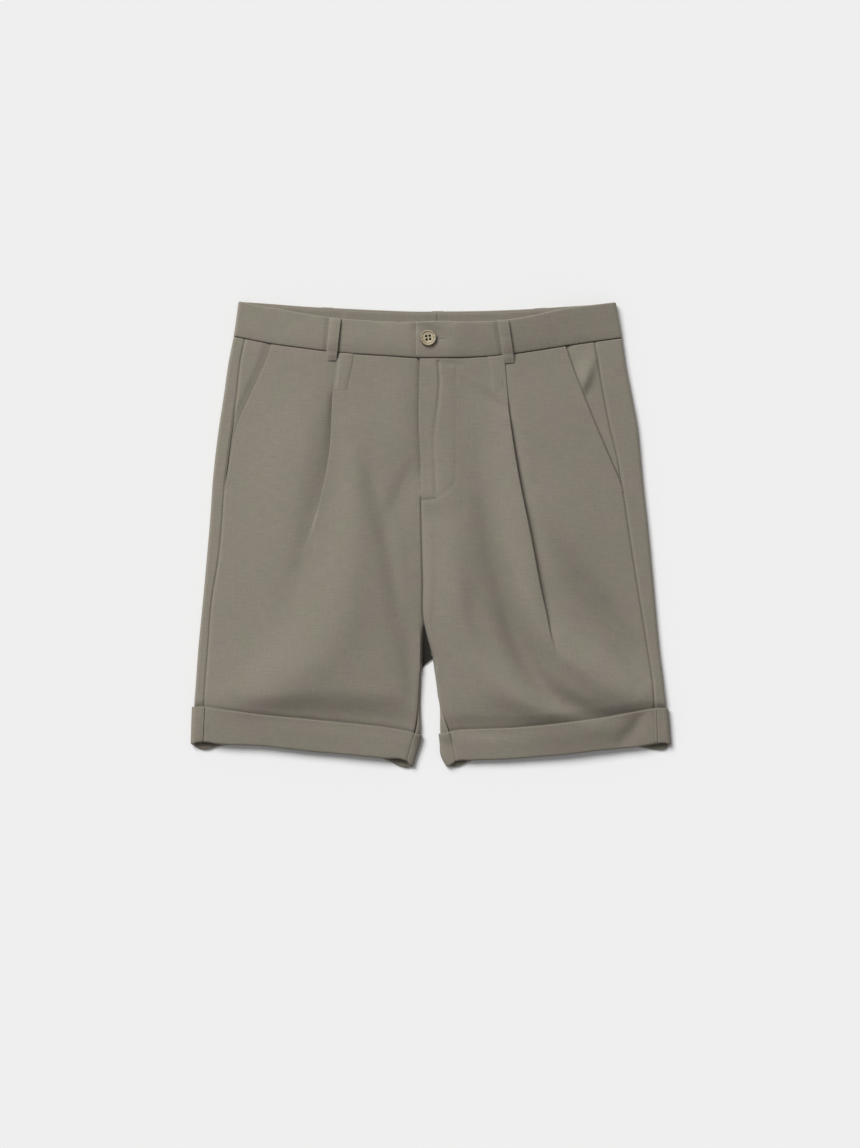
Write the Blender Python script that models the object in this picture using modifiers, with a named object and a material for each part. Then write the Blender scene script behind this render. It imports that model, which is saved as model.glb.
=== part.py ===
"""Men's bermuda shorts in cotton twill, laid flat on their back.

Tailored shorts with a buttoned waistband, a fly, one reverse pleat and one slant pocket on each
side, and turn-ups. The garment is a flattened tube with two flattened legs: its back lies on the
surface z = 0 and its front lies over it. Metres, +X towards the wearer's left, +Y towards the
waist, +Z up. The tables and sizes below are in millimetres.

Each cloth piece is a grid of points on its outer face, made solid inwards. Rows of the grid run
across the garment, from the waist down, and columns run down it.
"""

import math

import bmesh
import bpy
import numpy as np

MM = 0.001

# ------------------------------------------------------------------------------ driving sizes
CLOTH = 1.2  # wall of a single panel
SEAM_GAP = 0.3  # between two pieces that meet at a seam
WAIST_GAP = 0.5  # the same at the curved waist seam
LAYER_GAP = 0.3  # between two pieces that lie on each other
WALL_SEAM_GAP = 1.2  # between the edges of two panels that meet on the steep inside of a leg
CUFF_SEAM_GAP = 0.7  # between the edges of two turn-ups that meet at an inseam
BAND_WALL = 2.4  # waistband: cloth, interlining and facing
BAND_PROUD = 0.6  # the waistband's face over the panels' face
FACING_WALL = 1.0
CUFF_WALL = 1.9  # the turned-up double cloth
LOOP_WALL = 1.2
LOOP_WIDTH = 12.5
LOOP_BOW = 0.8  # how far a loop stands off its band halfway down
ZIP_WIDTH = 26.0
BUTTON_DIAMETER = 18.0
BUTTON_THICKNESS = 3.2
BUTTON_HOLE = 2.2
BUTTON_HOLE_SPACING = 3.4
BUTTON_STAND = 0.35  # between the button and the waistband, where its thread shank is

WAIST_Y = 193.0  # waist seam at the centre front
CUFF_Y = -205.0  # top edge of the turn-ups, where the rows of the legs join theirs
CROTCH_Y = -139.0  # the two legs part here
FLY_END_Y = 44.0
SIDE_TURN = 6.0  # reach of the rounded side fold, in from the outline
INNER_TURN = 5.0  # the same at the inside of a leg
UNDERLAP = 18.0  # how far the lap of the fly and waistband reaches over the layer below it
BAND_LAP_EDGE = -15.0  # visible end of the wearer's left waistband, over the right one
BAND_HIDDEN_EDGE = 11.0  # end of the wearer's right waistband, under the left one
FACING_REACH = 182.0  # from the centre back seam to the end of a waistband facing
FACING_DROP = 2.7  # from the top of the back waistband to its facing
LOOP_STAND = 0.4  # between a front loop and its band, at its ends
POCKET_STEP = CLOTH + 0.4  # how far a pocket facing lies below the front panel
ZIP_DROP = CLOTH + 0.6  # how far the zip lies below the outer face of the front
MOUTH_UNDERLAP = 16.0  # hidden width of a pocket facing behind the pocket mouth

WAIST_LIFT = LOOP_WALL + LAYER_GAP  # the back waistband lies on its belt loops
CUFF_LIFT = CUFF_WALL + LAYER_GAP + 0.1  # the back of a leg lies on its turn-up
LAP_LIFT = CLOTH + LAYER_GAP  # the upper fly layer over the lower one
BAND_LAP_LIFT = BAND_WALL + LAYER_GAP

# The pleat's folded cloth: the outer face of its top, middle and lowest layer.
PLEAT_TOP = 0.6
FOLD_RADIUS = CLOTH + LAYER_GAP / 2
TUCK_RADIUS = LAYER_GAP / 2
PLEAT_MIDDLE = PLEAT_TOP - 2 * FOLD_RADIUS
PLEAT_LOW = PLEAT_MIDDLE - 2 * TUCK_RADIUS
PLEAT_RELAX_IN = 22.0  # from the tucked edge to where the top layer lies level again
PLEAT_RELAX_OUT = 25.0  # from the folded edge to where the cloth below lies level again

OUTWARD = {"right": -1.0, "left": 1.0}
ORIGIN = np.array([0.35, 0.75, 0.0])  # middle of the garment's box, in the frame of the tables


# ------------------------------------------------------------------------------------- tables
def table(columns, *rows):
    """A short table with named columns, in order of its first column."""
    values = zip(*sorted(rows))
    return {name: np.array(column, float) for name, column in zip(columns.split(), values)}


def read(rows, column, place):
    """Smooth curve through a column of a table, read at places of its first column."""
    places = next(iter(rows.values()))
    heights = rows[column]
    slopes = np.gradient(heights, places)
    place = np.clip(place, places[0], places[-1])
    before = np.clip(np.searchsorted(places, place) - 1, 0, len(places) - 2)
    span = places[before + 1] - places[before]
    t = (place - places[before]) / span
    start = (1 + 2 * t) * (1 - t) ** 2 * heights[before] + t * (1 - t) ** 2 * span * slopes[before]
    end = t * t * (3 - 2 * t) * heights[before + 1] - t * t * (1 - t) * span * slopes[before + 1]
    return start + end


def blend(start, end, value):
    """0 before start, 1 after end and a soft step between them."""
    t = np.clip((value - start) / (end - start), 0, 1)
    return t * t * (3 - 2 * t)


# Reach of the side folds at each height, the side seams, which lie on the front, and the pocket
# mouths, which run from the waist seam into the side seams.
SIDES = {
    "right": table(
        "y fold seam mouth",
        (252, -207.0, -196.0, -170.0),
        (214, -212.5, -200.3, -170.0),
        (187, -218.2, -205.5, -178.0),
        (153, -223.6, -209.2, -193.6),
        (118, -229.0, -214.2, -209.0),
        (84, -233.3, -218.8, -216.0),
        (52, -236.4, -222.6, -221.5),
        (15, -238.9, -225.2, -225.2),
        (-20, -241.9, -228.4, -228.4),
        (-72, -246.6, -236.4, -236.4),
        (-124, -251.6, -240.4, -240.4),
        (-158, -254.0, -243.2, -243.2),
        (-190, -256.2, -245.0, -245.0),
        (-228, -257.6, -247.4, -247.4),
    ),
    "left": table(
        "y fold seam mouth",
        (252, 200.0, 168.0, 141.0),
        (214, 206.9, 176.0, 142.5),
        (187, 211.7, 180.5, 150.5),
        (153, 218.2, 186.5, 163.3),
        (118, 224.6, 193.3, 177.5),
        (84, 228.0, 201.5, 190.5),
        (52, 231.0, 206.8, 203.5),
        (15, 235.2, 212.6, 212.6),
        (-20, 238.6, 217.9, 217.9),
        (-72, 243.4, 226.2, 226.2),
        (-124, 248.4, 234.5, 234.5),
        (-158, 252.6, 239.6, 239.6),
        (-190, 255.8, 241.6, 241.6),
        (-228, 258.4, 243.4, 243.4),
    ),
}

# The inner edge of each front panel: the fly and front seam down to the crotch, then the inseam.
# rise: how high the seam lies, as a share of the front's height. reach: how far the upper cloth
# reaches towards the other leg, and low: the same for the cloth below it.
INNER = {
    "right": table(
        "y seam rise reach low",
        (236, 6.0, 1.0, -9.0, 7.0),
        (190, 6.4, 1.0, -9.0, 6.5),
        (124, 5.4, 1.0, -9.0, 5.5),
        (78, 6.5, 1.0, -9.0, 5.0),
        (56, -10.7, 1.0, -9.0, 4.5),
        (42, -10.5, 1.0, -9.0, 4.3),
        (8, -9.8, 0.98, -9.0, 3.5),
        (-50, -8.5, 0.92, -8.6, 2.0),
        (-93, -8.2, 0.84, -9.0, 1.0),
        (-108, -7.0, 0.58, -9.6, 0.5),
        (-122, -4.8, 0.36, -9.8, 0.0),
        (-139, -1.5, 0.26, -9.9, -0.5),
        (-158, -5.8, 0.32, -10.3, -5.6),
        (-176, -9.2, 0.42, -11.0, -8.8),
        (-193, -12.4, 0.62, -12.6, -12.0),
        (-210, -16.0, 1.0, -12.8, -12.4),
        (-224, -21.0, 1.0, -12.0, -11.6),
        (-237, -24.5, 1.0, -15.5, -15.0),
        (-252, -27.0, 1.0, -22.0, -21.8),
    ),
    "left": table(
        "y seam rise reach low",
        (236, -12.0, 1.0, -9.0, 7.0),
        (190, -11.6, 1.0, -9.0, 6.5),
        (124, -12.6, 1.0, -9.0, 5.5),
        (72, -10.6, 1.0, -9.0, 5.0),
        (46, -10.5, 1.0, -9.0, 4.5),
        (8, -9.8, 0.98, -9.0, 3.5),
        (-50, -8.5, 0.92, -8.2, 2.0),
        (-93, -8.2, 0.84, -7.0, 1.0),
        (-108, -7.0, 0.58, -4.8, 0.5),
        (-122, -4.8, 0.36, -1.0, 0.0),
        (-139, -1.5, 0.26, 3.0, -0.5),
        (-158, 5.2, 0.32, 5.6, 5.2),
        (-176, 8.6, 0.42, 8.9, 8.6),
        (-193, 12.0, 0.62, 11.8, 11.8),
        (-210, 18.0, 1.0, 12.4, 12.2),
        (-224, 22.5, 1.0, 13.0, 12.8),
        (-237, 25.0, 1.0, 14.5, 14.2),
        (-252, 27.0, 1.0, 21.0, 20.6),
    ),
}

# The folded edge of each pleat, how deep its cloth is tucked, and where it opens out (1 to 0).
PLEATS = {
    "right": table(
        "y edge depth folded",
        (236, -100.0, 18.0, 1.0),
        (186, -102.3, 17.0, 1.0),
        (153, -106.6, 13.5, 1.0),
        (127, -108.3, 10.5, 1.0),
        (93, -110.9, 6.5, 1.0),
        (65, -115.2, 3.2, 1.0),
        (48, -119.6, 2.0, 0.0),
        (6, -136.0, 2.0, 0.0),
        (-46, -144.7, 2.0, 0.0),
        (-113, -152.0, 2.0, 0.0),
        (-250, -158.0, 2.0, 0.0),
    ),
    "left": table(
        "y edge depth folded",
        (236, 76.0, 18.0, 1.0),
        (184, 79.9, 17.0, 1.0),
        (148, 83.2, 15.6, 1.0),
        (115, 87.5, 14.0, 1.0),
        (67, 95.4, 11.4, 1.0),
        (-5, 109.5, 7.6, 1.0),
        (-58, 119.4, 4.8, 1.0),
        (-90, 126.0, 3.2, 1.0),
        (-108, 129.7, 2.0, 0.0),
        (-178, 135.0, 2.0, 0.0),
        (-250, 137.5, 2.0, 0.0),
    ),
}

# Edges that run across the garment. front and back: the same edge on the upper and lower layer.
BAND_TOP = table(
    "x front back",
    (-206.8, 252.7, 252.7),
    (-195, 249.8, 251.4),
    (-165, 244.9, 248.8),
    (-140, 240.0, 246.8),
    (-96, 233.9, 244.5),
    (-56, 231.1, 242.6),
    (-15, 230.3, 241.2),
    (16, 230.9, 241.4),
    (42, 230.2, 241.6),
    (84, 232.6, 242.8),
    (111, 237.3, 244.2),
    (144, 244.3, 246.4),
    (174, 248.3, 248.6),
    (199.8, 251.7, 251.7),
)
WAIST_SEAM = table(
    "x front back",
    (-212.3, 214.6, 214.6),
    (-170, 206.3, 209.6),
    (-135, 201.4, 207.6),
    (-99, 197.0, 206.0),
    (-48, 193.3, 204.0),
    (-13, 191.2, 203.2),
    (6, 191.2, 203.2),
    (42, 191.8, 203.6),
    (77, 194.3, 204.6),
    (111, 199.0, 206.0),
    (142, 203.9, 208.0),
    (176, 208.9, 210.4),
    (206.4, 213.2, 213.2),
)
CUFF_TOP = {
    "right": table(
        "x front back",
        (-256, -184.6, -184.6),
        (-247, -184.2, -189.0),
        (-228, -186.6, -191.0),
        (-185, -192.3, -190.5),
        (-133, -197.7, -193.5),
        (-82, -202.9, -199.0),
        (-47, -206.9, -206.5),
        (-27, -210.4, -213.0),
        (-11, -214.6, -214.6),
    ),
    "left": table(
        "x front back",
        (10, -213.6, -213.6),
        (26, -210.2, -211.0),
        (53, -208.5, -205.5),
        (84, -207.3, -201.5),
        (109, -205.2, -199.0),
        (139, -202.0, -196.0),
        (183, -196.4, -191.5),
        (213, -190.7, -189.5),
        (243, -186.0, -191.5),
        (256, -185.8, -185.8),
    ),
}
HEM = {
    "right": table(
        "x front back",
        (-259, -225.6, -225.8),
        (-253, -223.6, -229.6),
        (-246, -223.0, -231.4),
        (-230, -225.2, -228.0),
        (-185, -227.2, -226.0),
        (-133, -233.0, -229.5),
        (-82, -237.6, -234.5),
        (-52, -240.8, -241.5),
        (-27, -243.7, -251.0),
        (-20, -248.6, -251.4),
        (-10, -246.0, -246.0),
    ),
    "left": table(
        "x front back",
        (11, -246.0, -246.0),
        (19, -248.6, -250.6),
        (27, -244.1, -250.0),
        (45, -243.0, -243.5),
        (84, -241.6, -238.0),
        (119, -238.8, -235.0),
        (139, -237.3, -233.5),
        (183, -232.0, -229.5),
        (225, -228.0, -229.0),
        (243, -224.8, -231.4),
        (253, -224.2, -231.0),
        (260, -225.6, -225.8),
    ),
}

# Thickness of the laid garment: at its side folds, and what its crown adds across the hips and
# across each leg.
THICKNESS = table(
    "y side hip leg",
    (252, 9.2, 3.4, 0.0),
    (190, 9.0, 3.8, 0.0),
    (100, 8.5, 4.0, 0.0),
    (20, 8.5, 4.2, 0.4),
    (-60, 8.5, 3.6, 1.6),
    (-120, 8.6, 1.6, 3.4),
    (-160, 9.0, 0.0, 4.6),
    (-205, 9.6, 0.0, 5.4),
    (-250, 10.0, 0.0, 6.0),
)

# Largest soft folds of the front: how high, how wide each side of its line, and the line.
FOLDS = [
    {"height": 1.6, "width": 44, "line": [(-150, 175), (-168, 60), (-186, -60), (-190, -110)]},
    {"height": 2.0, "width": 22, "line": [(-97, 125), (-95, 10), (-102, -60), (-135, -134), (-220, -176)]},
    {"height": -2.2, "width": 20, "line": [(-76, -45), (-95, -95), (-127, -143), (-163, -170), (-205, -186)]},
    {"height": -1.3, "width": 18, "line": [(-115, 62), (-136, 6), (-146, -50)]},
    {"height": 1.9, "width": 21, "line": [(10, 50), (17, -28), (35, -100), (60, -143), (142, -182)]},
    {"height": -2.2, "width": 22, "line": [(34, 35), (45, -14), (88, -107), (139, -161), (182, -181)]},
    {"height": -1.5, "width": 21, "line": [(132, 16), (147, -28), (196, -93), (217, -140)]},
    {"height": 1.4, "width": 20, "line": [(142, -80), (161, -135), (214, -162)]},
    {"height": -1.2, "width": 15, "line": [(119, -55), (128, -100), (134, -150)]},
]

# Belt loops over the front waistband: where the middle of each end lies.
FRONT_LOOPS = {
    "right": {"top": (-102.9, 234.0), "bottom": (-107.8, 188.0)},
    "left": {"top": (77.3, 232.2), "bottom": (84.2, 185.5)},
}
BACK_LOOPS = {"right": -112.0, "centre": 7.2, "left": 118.0}
LOOP_TAIL = 4.0  # how far a back loop reaches past the waist seam
BUTTON_PLACE = (-3.0, 212.7)


# --------------------------------------------------------------------------------- soft folds
def smooth_line(points, steps=6):
    """Points along a smooth curve through a few points."""
    places = np.arange(len(points), dtype=float)
    rows = {"place": places, "x": np.array(points, float)[:, 0], "y": np.array(points, float)[:, 1]}
    along = np.linspace(0, len(points) - 1, steps * (len(points) - 1) + 1)
    return np.stack([read(rows, "x", along), read(rows, "y", along)], axis=1)


def fold_height(fold, x, y):
    """Height that one fold adds at x, y: it is highest on its line and dies out at both ends."""
    line = smooth_line(fold["line"])
    nearest = np.full(np.shape(x), np.inf)
    along = np.zeros(np.shape(x))
    for number, (start, end) in enumerate(zip(line, line[1:])):
        step = end - start
        t = np.clip(((x - start[0]) * step[0] + (y - start[1]) * step[1]) / step.dot(step), 0, 1)
        distance = np.hypot(x - start[0] - t * step[0], y - start[1] - t * step[1])
        along = np.where(distance < nearest, (number + t) / (len(line) - 1), along)
        nearest = np.minimum(nearest, distance)
    ends = blend(0, 0.3, along) * blend(1, 0.7, along)
    return fold["height"] * ends * np.exp(-((nearest / fold["width"]) ** 2))


# ------------------------------------------------------------------------ form of the garment
def top_height(x, y):
    """Height of the front's outer face over the surface, without pleats and laps."""
    right_fold = read(SIDES["right"], "fold", y)
    left_fold = read(SIDES["left"], "fold", y)
    across = 2 * (x - right_fold) / (left_fold - right_fold) - 1
    hip = read(THICKNESS, "hip", y) * (1 - across**2)
    on_left = x > (read(INNER["right"], "reach", y) + read(INNER["left"], "reach", y)) / 2
    outer = np.where(on_left, left_fold, right_fold)
    inner = np.where(on_left, read(INNER["left"], "reach", y), read(INNER["right"], "reach", y))
    share = np.clip((x - outer) / (inner - outer), 0, 1)
    leg = read(THICKNESS, "leg", y) * 4 * share * (1 - share)
    return read(THICKNESS, "side", y) + hip + leg + sum(fold_height(fold, x, y) for fold in FOLDS)


def under_height(side, x, y):
    """Height of the back's outer face: 0 where it rests, more over the loops and turn-ups."""
    below_waist = read(WAIST_SEAM, "back", x) - y
    above_cuff = y - read(CUFF_TOP[side], "back", x)
    over_loops = WAIST_LIFT * blend(28, 7, below_waist)
    return over_loops + CUFF_LIFT * blend(26, 6, above_cuff)


def centre_back(y):
    """Place of the centre back seam."""
    return read(INNER["left"], "low", np.maximum(y, CROTCH_Y))


def shoulder(side, y):
    """Where the top of the garment starts to round down into its side fold."""
    return read(SIDES[side], "fold", y) - OUTWARD[side] * SIDE_TURN


def inner_shoulder(side, y):
    """Where the front starts to round down towards its inner seam."""
    toward_leg = OUTWARD[side]
    seam = read(INNER[side], "seam", y) + toward_leg * INNER_TURN
    reach = read(INNER[side], "reach", y) + toward_leg * INNER_TURN
    below_fly = y < FLY_END_Y
    return np.where(below_fly, toward_leg * np.maximum(toward_leg * seam, toward_leg * reach), seam)


def inner_seam(side, y, part):
    """Place and height of a panel's edge at the inner seam, with part 1 for the front, -1 the back."""
    gap = SEAM_GAP + (CUFF_SEAM_GAP - SEAM_GAP) * blend(CUFF_Y + 10, CUFF_Y, y)
    x = read(INNER[side], "seam", y) + part * OUTWARD[side] * gap / 2
    rise = np.minimum(read(INNER[side], "rise", y), 1)
    return x, rise * top_height(x, y) + part * WALL_SEAM_GAP / 2 * blend(1, 0.8, rise)


def fly_lift(side, x, y):
    """How far the wearer's left front is raised where it laps over the right one."""
    if side == "right":
        return 0 * x
    past_edge = x - read(INNER["left"], "seam", y)
    return LAP_LIFT * blend(UNDERLAP + 32, UNDERLAP + 3, past_edge) * blend(FLY_END_Y - 26, FLY_END_Y, y)


def band_lift(side, x):
    """The same for the end of the wearer's left waistband."""
    if side == "right":
        return 0 * x
    return BAND_LAP_LIFT * blend(UNDERLAP + 34, UNDERLAP - 2, x)


# Each function below gives the x and z of one column of a panel, at the heights y of its rows.
# share runs from 0 to 1 over the named stretch, from the centre of the garment outwards.
def inner_column(side, share, y):
    """Front panel, from its inner seam up to where the front lies level."""
    angle = (1 - share) * math.pi / 2
    seam_x, seam_z = inner_seam(side, y, 1)
    level_x = inner_shoulder(side, y)
    x = level_x + (seam_x - level_x) * math.sin(angle)
    level_z = top_height(level_x, y) + fly_lift(side, level_x, y)
    lift = fly_lift(side, x, y)
    on_wall = blend(1, 0.6, read(INNER[side], "rise", y))
    share_z = on_wall * math.cos(angle) + (1 - on_wall) * (1 - math.sin(angle))
    return x, seam_z + lift + (level_z - seam_z - lift) * share_z


def pleat_nodes(fold_steps=4, tuck_steps=2):
    """The pleat from the centre outwards: share of its depth, place from its edge, level."""
    nodes = [(1, PLEAT_RELAX_IN, 0.0), (1, 3.0, PLEAT_TOP)]
    for step in range(fold_steps + 1):
        angle = math.pi * step / fold_steps
        across = FOLD_RADIUS * (1 - math.sin(angle))
        nodes.append((0, across, PLEAT_TOP - FOLD_RADIUS * (1 - math.cos(angle))))
    for step in range(tuck_steps + 1):
        angle = math.pi * step / tuck_steps
        across = TUCK_RADIUS * (math.sin(angle) - 1)
        nodes.append((1, across, PLEAT_MIDDLE - TUCK_RADIUS * (1 - math.cos(angle))))
    nodes += [(0, 0.0, PLEAT_LOW), (0, -0.4 * PLEAT_RELAX_OUT, 0.6 * PLEAT_LOW), (0, -PLEAT_RELAX_OUT, 0.0)]
    return nodes


def pleat_column(side, number, nodes, y):
    """Front panel, one line of the folded pleat, which opens out into flat cloth lower down."""
    depth_share, place, level = nodes[number]
    rows = PLEATS[side]
    folded = np.clip(read(rows, "folded", y), 0, 1)
    flat = PLEAT_RELAX_IN - (PLEAT_RELAX_IN + PLEAT_RELAX_OUT) * number / (len(nodes) - 1)
    inward = folded * (depth_share * read(rows, "depth", y) + place) + (1 - folded) * flat
    x = read(rows, "edge", y) - OUTWARD[side] * inward
    return x, top_height(x, y) + fly_lift(side, x, y) + folded * level


def span_column(side, from_x, to_x, share, y):
    """Front cloth that lies level between two lines."""
    x = from_x + (to_x - from_x) * share
    return x, top_height(x, y) + fly_lift(side, x, y)


def turn_column(side, share, y):
    """Round the side fold, from the top to the underside."""
    angle = math.pi * (0.5 - share)
    level_x = shoulder(side, y)
    x = level_x + OUTWARD[side] * SIDE_TURN * math.cos(angle)
    top = top_height(level_x, y)
    low = under_height(side, level_x, y)
    return x, low + (top - low) * (1 + math.sin(angle)) / 2


def under_column(side, share, y):
    """Along the underside, from the side fold to near the inner seam."""
    inner = np.where(y > CROTCH_Y, centre_back(y), read(INNER[side], "low", y)) + OUTWARD[side] * INNER_TURN
    outer = shoulder(side, y)
    x = outer + (inner - outer) * share
    return x, under_height(side, x, y)


def inseam_column(side, share, y):
    """From the underside up to the inseam, or level to the centre back seam above the crotch."""
    angle = share * math.pi / 2
    in_leg = y < CROTCH_Y + 1
    rise = np.minimum(read(INNER[side], "rise", y), 1)
    seam_x, seam_z = inner_seam(side, y, -1)
    low_x = np.where(in_leg, read(INNER[side], "low", y), centre_back(y))
    foot_x = low_x + OUTWARD[side] * INNER_TURN
    end_x = np.where(in_leg, seam_x, low_x + OUTWARD[side] * SEAM_GAP / 2)
    bulge = np.maximum(OUTWARD[side] * (end_x - low_x), 0)
    x = foot_x + (end_x - foot_x) * math.sin(angle) - OUTWARD[side] * bulge * math.sin(2 * angle)
    low_z = under_height(side, foot_x, y)
    end_z = np.where(in_leg, seam_z, low_z)
    on_wall = blend(1, 0.6, rise)
    share_z = on_wall * (1 - math.cos(angle)) + (1 - on_wall) * (1 - math.cos(2 * angle)) / 2
    return x, low_z + (end_z - low_z) * share_z


# ------------------------------------------------------------------------------ rows of panels
LEG_ROWS = [193, 165, 140, 115, 90, 65, 48, 20, -10, -40, -70, -93, -108, -122, -139, -155, -175, -192]
CUFF_ROWS = [0.0, 0.5, 1.0]
HEM_INSET = 1.0  # a leg ends this far inside the lower edge of its turn-up
CUFF_START = len(LEG_ROWS)  # row at the top edge of the turn-up


def edge(rows, layer, x):
    """An edge across the garment, with layer 0 on the front and 1 on the back."""
    return (1 - layer) * read(rows, "front", x) + layer * read(rows, "back", x)


def crossing(column, rows, layer):
    """The y at which a column crosses an edge."""
    y = float(np.mean(rows["front"]))
    for _ in range(5):
        y = float(edge(rows, layer, column(np.array([y]))[0][0]))
    return y


def row_heights(waist, cuff, hem):
    """Heights y of a column's rows, from the waist seam past the top of the turn-up to the hem."""
    heights = []
    for height in LEG_ROWS:
        near_waist = (waist - WAIST_Y) * blend(40, WAIST_Y, height)
        near_cuff = (cuff - CUFF_Y) * blend(-110, CUFF_Y, height)
        heights.append(height + near_waist + near_cuff)
    heights += [cuff + (hem - cuff) * share for share in CUFF_ROWS]
    return np.array(heights)


def column_points(side, layer, waist_layer, column):
    """One column of a panel as points, its x and z given by the function column(y)."""
    waist = crossing(column, WAIST_SEAM, waist_layer) - WAIST_GAP / 2
    y = row_heights(waist, crossing(column, CUFF_TOP[side], layer), crossing(column, HEM[side], layer))
    x, z = column(y)
    return np.stack([x, y, z], axis=1)


def outer_edge(side, y):
    """Outer edge of a front panel: the pocket mouth, then the side seam."""
    return read(SIDES[side], "mouth", y) - OUTWARD[side] * SEAM_GAP / 2


def front_points(side):
    """Outer face of a front panel, down to the hem of its turn-up."""
    nodes = pleat_nodes()
    last = len(nodes) - 1
    columns = []
    for share in np.linspace(0, 1, 4)[:-1]:
        columns.append(lambda y, s=share: inner_column(side, s, y))
    for share in np.linspace(0, 1, 5)[:-1]:
        columns.append(
            lambda y, s=share: span_column(side, inner_shoulder(side, y), pleat_column(side, 0, nodes, y)[0], s, y)
        )
    for number in range(len(nodes)):
        columns.append(lambda y, n=number: pleat_column(side, n, nodes, y))
    for share in np.linspace(0, 1, 5)[1:]:
        columns.append(
            lambda y, s=share: span_column(side, pleat_column(side, last, nodes, y)[0], outer_edge(side, y), s, y)
        )
    return in_order(side, [column_points(side, 0, 0, column) for column in columns])


def back_points(side):
    """Outer face of a back panel, from the side seam round the side fold to its inner seam.

    Each column has its layer at the leg's end and its layer at the waist.
    """
    columns = []
    for share in np.linspace(0, 1, 3)[:-1]:
        columns.append((0, 0, lambda y, s=share: span_column(side, side_seam(side, y), shoulder(side, y), s, y)))
    for share in np.linspace(0, 1, 7)[:-1]:
        columns.append((share, share, lambda y, s=share: turn_column(side, s, y)))
    for share in np.linspace(0, 1, 7)[:-1]:
        columns.append((1, 1, lambda y, s=share: under_column(side, s, y)))
    for share in np.linspace(0, 1, 5):
        columns.append((1 - share, 1, lambda y, s=share: inseam_column(side, s, y)))
    return in_order(side, [column_points(side, *column) for column in columns])


def side_seam(side, y):
    """Edge of the back panel at the side seam."""
    return read(SIDES[side], "seam", y) + OUTWARD[side] * SEAM_GAP / 2


def in_order(side, columns):
    """Columns as a grid of rows whose outer face looks outwards."""
    grid = np.stack(columns, axis=1)
    return grid[:, ::-1] if side == "right" else grid


def moved_out(grid, distance):
    """The points of a grid moved out so that each of its faces moves by the distance."""
    diagonals = grid[1:, 1:] - grid[:-1, :-1], grid[:-1, 1:] - grid[1:, :-1]
    faces = np.cross(*diagonals)
    faces /= np.linalg.norm(faces, axis=2, keepdims=True)
    faces = np.pad(faces, ((1, 1), (1, 1), (0, 0)), mode="edge")
    mean = (faces[1:, 1:] + faces[:-1, :-1] + faces[:-1, 1:] + faces[1:, :-1]) / 4
    return grid + distance * mean / (mean**2).sum(axis=2, keepdims=True)


# ---------------------------------------------------------------------------- making of pieces
def material(name, colour, roughness, metallic=0.0):
    made = bpy.data.materials.new(name)
    made.use_nodes = True
    shader = made.node_tree.nodes["Principled BSDF"]
    shader.inputs["Base Color"].default_value = (*colour, 1.0)
    shader.inputs["Roughness"].default_value = roughness
    shader.inputs["Metallic"].default_value = metallic
    return made


def collection(name):
    made = bpy.data.collections.new(name)
    bpy.context.scene.collection.children.link(made)
    return made


def add_object(name, bm, group, finish):
    mesh = bpy.data.meshes.new(name)
    bm.to_mesh(mesh)
    bm.free()
    mesh.materials.append(finish)
    made = bpy.data.objects.new(name, mesh)
    group.objects.link(made)
    return made


def cloth(name, grid, wall, group, finish, folded=False):
    """A cloth piece: a grid bent to the points of its outer face, made solid inwards."""
    rows, columns = grid.shape[:2]
    bm = bmesh.new()
    bmesh.ops.create_grid(bm, x_segments=columns - 1, y_segments=rows - 1, size=1)
    for vertex, point in zip(bm.verts, grid[::-1].reshape(-1, 3)):
        vertex.co = (point - ORIGIN) * MM
    bm.normal_update()
    piece = add_object(name, bm, group, finish)
    piece.data.shade_smooth()
    solid = piece.modifiers.new("wall", "SOLIDIFY")
    solid.thickness = wall * MM
    solid.offset = -1
    solid.use_even_offset = not folded
    return piece


def band_points(side):
    """Outer face of a waistband half, from the fly round the side fold to the centre back."""
    end_x = BAND_LAP_EDGE if side == "left" else BAND_HIDDEN_EDGE
    columns = []
    for share in np.linspace(0, 1, 9)[:-1]:
        columns.append((0, lambda y, s=share: band_top_column(side, end_x, s, y)))
    for share in np.linspace(0, 1, 7)[:-1]:
        columns.append((share, lambda y, s=share: band_turn_column(side, s, y)))
    for share in np.linspace(0, 1, 8):
        columns.append((1, lambda y, s=share: band_under_column(side, s, y)))
    grid = []
    for layer, column in columns:
        seam = crossing(column, WAIST_SEAM, layer) + WAIST_GAP / 2
        y = np.linspace(crossing(column, BAND_TOP, layer), seam, 4)
        x, z = column(y)
        grid.append(np.stack([x, y, z], axis=1))
    return in_order(side, grid)


def band_top_column(side, end_x, share, y):
    x = end_x + (shoulder(side, y) - end_x) * share
    return x, top_height(x, y) + BAND_PROUD + band_lift(side, x)


def band_turn_column(side, share, y):
    x, z = turn_column(side, share, y)
    return x, z + BAND_PROUD * (1 - share)


def band_under_column(side, share, y):
    outer = shoulder(side, y)
    inner = centre_back(y) + OUTWARD[side] * SEAM_GAP / 2
    return outer + (inner - outer) * share, np.full(np.shape(y), WAIST_LIFT)


def facing_points(side):
    """Upper face of a back waistband facing, which lies on the inside of the waistband."""
    level = WAIST_LIFT + BAND_WALL + LAYER_GAP + FACING_WALL
    columns = []
    for share in np.linspace(0, 1, 8):
        x = centre_back(WAIST_Y) + OUTWARD[side] * (SEAM_GAP / 2 + share * FACING_REACH)
        y = np.linspace(read(BAND_TOP, "back", x) - FACING_DROP, read(WAIST_SEAM, "back", x), 3)
        columns.append(np.stack([np.full(3, x), y, np.full(3, level)], axis=1))
    return in_order(side, columns)


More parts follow.
